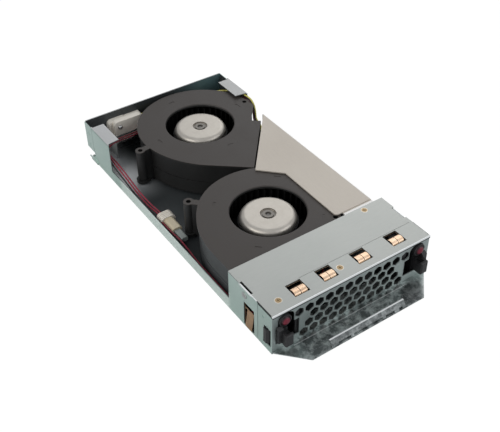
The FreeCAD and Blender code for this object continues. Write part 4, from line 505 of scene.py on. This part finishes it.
def circuit_board(name):
    """Green solder mask with faint copper tracks under it."""
    material, g = finish_named(name)
    tracks = g.add("ShaderNodeTexBrick", {}, g.object_place(), Color1=(0, 0, 0, 1), Color2=(1, 1, 1, 1),
                   Mortar=(0.5, 0.5, 0.5, 1), Scale=0.4, out=1)
    clouds = g.noise(g.object_place(), 0.3, 3.0, 0.5)
    base = g.mix((tracks * 0.4 + clouds * 0.3).clamp(), (0.01, 0.09, 0.04), (0.05, 0.22, 0.09))
    g.surface(Base_Color=base, Roughness=0.3 + clouds * 0.15, Coat_Weight=0.3, Normal=g.bump(tracks, 0.02))
    return material


def centre_of(node):
    """Middle of a solid's box, in metres."""
    low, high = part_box(node)
    return tuple((a + b) / 2 for a, b in zip(low, high))


def latch_spring(side, material):
    """A coil in place of the solid spring, fixed to the module."""
    node = side + "_latch_spring"
    low, high = (Vector(corner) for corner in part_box(node))
    middle = (low + high) / 2
    radius = (high.z - low.z - SPRING_WIRE) / 2
    fixed_end, inward = (high.x, -1) if side == "left" else (low.x, 1)
    start = Matrix.Translation((fixed_end + inward * SPRING_WIRE / 2, middle.y, middle.z + radius))
    mesh = bmesh.new()
    bmesh.ops.create_circle(mesh, radius=SPRING_WIRE / 2, segments=SPRING_WIRE_SIDES,
                            matrix=start @ Matrix.Rotation(math.pi / 2, 4, "X"))
    step = inward * (high.x - low.x - SPRING_WIRE) / SPRING_STEPS
    bmesh.ops.spin(mesh, geom=mesh.verts[:] + mesh.edges[:], cent=middle, axis=(1, 0, 0), dvec=(step, 0, 0),
                   angle=2 * math.pi * SPRING_TURNS, steps=SPRING_STEPS)
    bmesh.ops.holes_fill(mesh, edges=[edge for edge in mesh.edges if edge.is_boundary])
    bmesh.ops.recalc_face_normals(mesh, faces=mesh.faces)
    for face in mesh.faces:
        face.smooth = len(face.verts) < SPRING_WIRE_SIDES
    data = bpy.data.meshes.new(side + "_spring_coil")
    mesh.to_mesh(data)
    mesh.free()
    data.materials.append(material)
    coil = bpy.data.objects.new(side + "_spring_coil", data)
    bpy.context.collection.objects.link(coil)
    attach(coil, "module")
    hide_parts(node)
    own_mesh(coil)


def dress():
    """Gives every solid its finish."""
    handle_low, handle_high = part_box("handle_plate")
    tray = tray_sheet("tray_sheet")
    cap = cap_sheet("cap_sheet")
    face = face_sheet("face_sheet")
    plate = handle_sheet("handle_sheet", handle_low[2] / MM, handle_high[2] / MM)
    zinc = sheet_metal("bracket_sheet", (0.50, 0.51, 0.49), (0.38, 0.40, 0.39))
    duct = duct_sheet("duct_sheet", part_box("duct_cover")[1][0] / MM)
    copper = sheet_metal("contact_copper", (0.98, 0.76, 0.56), (0.84, 0.54, 0.35), grain=(0.2, 1.0, 1.0),
                         rough=0.24, cloud_size=3.0, metallic=0.85)
    # Painted shade: the side strips take a darker copy of the top strip's copper.
    shaded_copper = sheet_metal("shaded_side_contact_copper", (0.50, 0.32, 0.19), (0.34, 0.21, 0.12),
                              grain=(1.0, 1.0, 0.2), rough=0.36, cloud_size=4.0, metallic=0.7)
    brass = screw_heads("cap_screw_heads", CAP_SCREWS)
    steel = turned_metal("screw_steel", (0.62, 0.62, 0.6), (0.38, 0.38, 0.38), rough=0.32, ring_pitch=0.4)
    bright = turned_metal("bright_steel", (0.72, 0.72, 0.71), (0.5, 0.5, 0.5), rough=0.2, ring_pitch=0.3)
    black = moulded("latch_housing_black", (0.008, 0.008, 0.009), (0.022, 0.022, 0.023), rough=0.5)
    lever = moulded("latch_lever_black", (0.010, 0.010, 0.011), (0.026, 0.025, 0.026), rough=0.45, grain=3.4)
    wheel = moulded("impeller_black", (0.004, 0.004, 0.004), (0.010, 0.010, 0.010), rough=0.6, specular=0.2)
    ivory = moulded("ivory_nylon", (0.80, 0.73, 0.63), (0.92, 0.87, 0.79), rough=0.38, grain=1.8)
    tan = moulded("tan_nylon", (0.60, 0.50, 0.34), (0.74, 0.65, 0.48), rough=0.36, grain=1.8)
    grey = moulded("grey_boot", (0.26, 0.285, 0.265), (0.36, 0.385, 0.365), rough=0.5, grain=1.8)
    spindle = turned_metal("spindle_steel", (0.22, 0.21, 0.20), (0.10, 0.10, 0.10), rough=0.45, ring_pitch=0.5)
    magnet = moulded("magnet_ferrite", (0.02, 0.02, 0.02), (0.06, 0.058, 0.056), rough=0.6, grain=3.0)
    laminated = sheet_metal("stator_laminations", (0.4, 0.4, 0.41), (0.16, 0.16, 0.17), grain=(0.1, 0.1, 6.0),
                            rough=0.45)
    finishes = {
        "tray": tray, "rear_panel": tray, "front_cap": cap, "front_grille": face, "handle_plate": plate,
        "duct_cover": duct, "rear_connector_bracket": zinc, "cap_screws": brass, "side_screws": steel,
        "top_contact_strip": copper, "left_contact_strip": shaded_copper, "right_contact_strip": shaded_copper,
        "rear_connector_housing": ivory, "rear_connector_contacts": bright, "rear_connector_screw": steel,
        "inline_plug": ivory, "inline_socket": tan, "socket_boot": grey,
    }
    red = insulation("wire_red", (0.22, 0.015, 0.03), (0.38, 0.04, 0.07))
    dark = insulation("wire_black", (0.01, 0.01, 0.01), (0.03, 0.03, 0.03))
    yellow = insulation("wire_yellow", (0.62, 0.55, 0.09), (0.80, 0.72, 0.20))
    maroon = insulation("wire_maroon", (0.10, 0.01, 0.02), (0.18, 0.03, 0.05))
    finishes.update({"harness_wire_red": red, "harness_wire_second_red": red, "harness_wire_black": dark,
                     "front_lead_red": red, "front_lead_black": dark, "rear_lead_yellow": yellow,
                     "rear_lead_black": dark, "rear_lead_maroon": maroon})
    for side in ("left", "right"):
        low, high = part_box(side + "_latch_dome")
        dome = lens_red(side + "_dome_maroon", centre_of(side + "_latch_dome"), (high[0] - low[0]) / 2 / MM)
        finishes.update({side + "_latch_housing": black, side + "_latch_lever": lever, side + "_latch_dome": dome,
                         side + "_latch_pin": steel})
        latch_spring(side, bright)
    board = circuit_board("motor_board_green")
    for name in ("front", "rear"):
        middle = centre_of(name + "_rotor_cup")
        cup = hub_steel(name + "_cup_steel", middle)
        casing = casing_plastic(name + "_casing_plastic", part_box(name + "_blower_cover")[1][2] / MM)
        coils = wound(name + "_winding_copper", (0.62, 0.26, 0.12), (0.25, 0.08, 0.03), middle)
        finishes.update({name + "_blower_base": casing, name + "_blower_cover": casing, name + "_impeller": wheel,
                         name + "_rotor_cup": cup, name + "_rotor_shaft": spindle, name + "_rotor_magnet": magnet,
                         name + "_rotor_bearings": bright, name + "_stator_core": laminated,
                         name + "_stator_coils": coils, name + "_motor_board": board,
                         name + "_blower_screws": steel})
    for node, material in finishes.items():
        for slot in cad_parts[node].material_slots:
            slot.material = material


def studio():
    """Floor, world, lamps and camera."""
    mesh = bmesh.new()
    bmesh.ops.create_grid(mesh, x_segments=1, y_segments=1, size=6.0)
    data = bpy.data.meshes.new("studio_floor")
    mesh.to_mesh(data)
    floor = bpy.data.objects.new("studio_floor", data)
    floor.location.z = CAD_BOX[0][2] - 0.0002
    bpy.context.collection.objects.link(floor)
    material, g = finish_named("studio_floor")
    camera_ray = g.add("ShaderNodeLightPath", {}, out=0)
    lit = g.add("ShaderNodeBsdfDiffuse", {}, (0.80, 0.80, 0.80, 1))
    white = g.add("ShaderNodeEmission", {}, (1, 1, 1, 1), 1.08)
    g.add("ShaderNodeOutputMaterial", {}, g.add("ShaderNodeMixShader", {}, camera_ray * 0.9, lit, white))
    data.materials.append(material)

    world = bpy.data.worlds.new("studio")
    bpy.context.scene.world = world
    g = Graph(world)
    camera_ray = g.add("ShaderNodeLightPath", {}, out=0)
    glossy_ray = g.add("ShaderNodeLightPath", {}, out=3)
    soft = g.add("ShaderNodeBackground", {}, (0.9, 0.95, 1.0, 1), 0.45)
    seen = g.add("ShaderNodeBackground", {}, (1, 1, 1, 1), 1.05)
    mirrored = g.add("ShaderNodeBackground", {}, (0.95, 0.97, 1.0, 1), 0.6)
    shown = g.add("ShaderNodeMixShader", {}, glossy_ray, soft, mirrored)
    g.add("ShaderNodeOutputWorld", {}, g.add("ShaderNodeMixShader", {}, camera_ray, shown, seen))

    for name, place, size, power, colour in (
        ("key", (-1.3, -0.1, 0.8), 1.2, 8.0, (1.0, 0.99, 0.97)),
        ("fill", (0.9, -1.1, 0.9), 1.2, 5.0, (0.97, 0.98, 1.0)),
        ("back", (1.2, 1.15, 1.1), 1.2, 4.5, (1.0, 1.0, 1.0)),
    ):
        lamp = bpy.data.lights.new(name, "AREA")
        lamp.size = size
        lamp.energy = power
        lamp.color = colour
        holder = bpy.data.objects.new(name, lamp)
        holder.location = place
        holder.rotation_euler = (Vector((0, 0, 0.02)) - Vector(place)).to_track_quat("-Z", "Y").to_euler()
        bpy.context.collection.objects.link(holder)

    camera = bpy.data.cameras.new("camera")
    camera.lens = 59.376
    camera.sensor_width = 36.0
    holder = bpy.data.objects.new("camera", camera)
    holder.location = (-0.30553, -0.45605, 0.46628)
    holder.rotation_euler = Euler(tuple(math.radians(a) for a in (49.582, 0.5658, -34.3688)), "XYZ")
    bpy.context.collection.objects.link(holder)
    bpy.context.scene.camera = holder
    bpy.context.scene.view_settings.view_transform = "Standard"


dress()
studio()
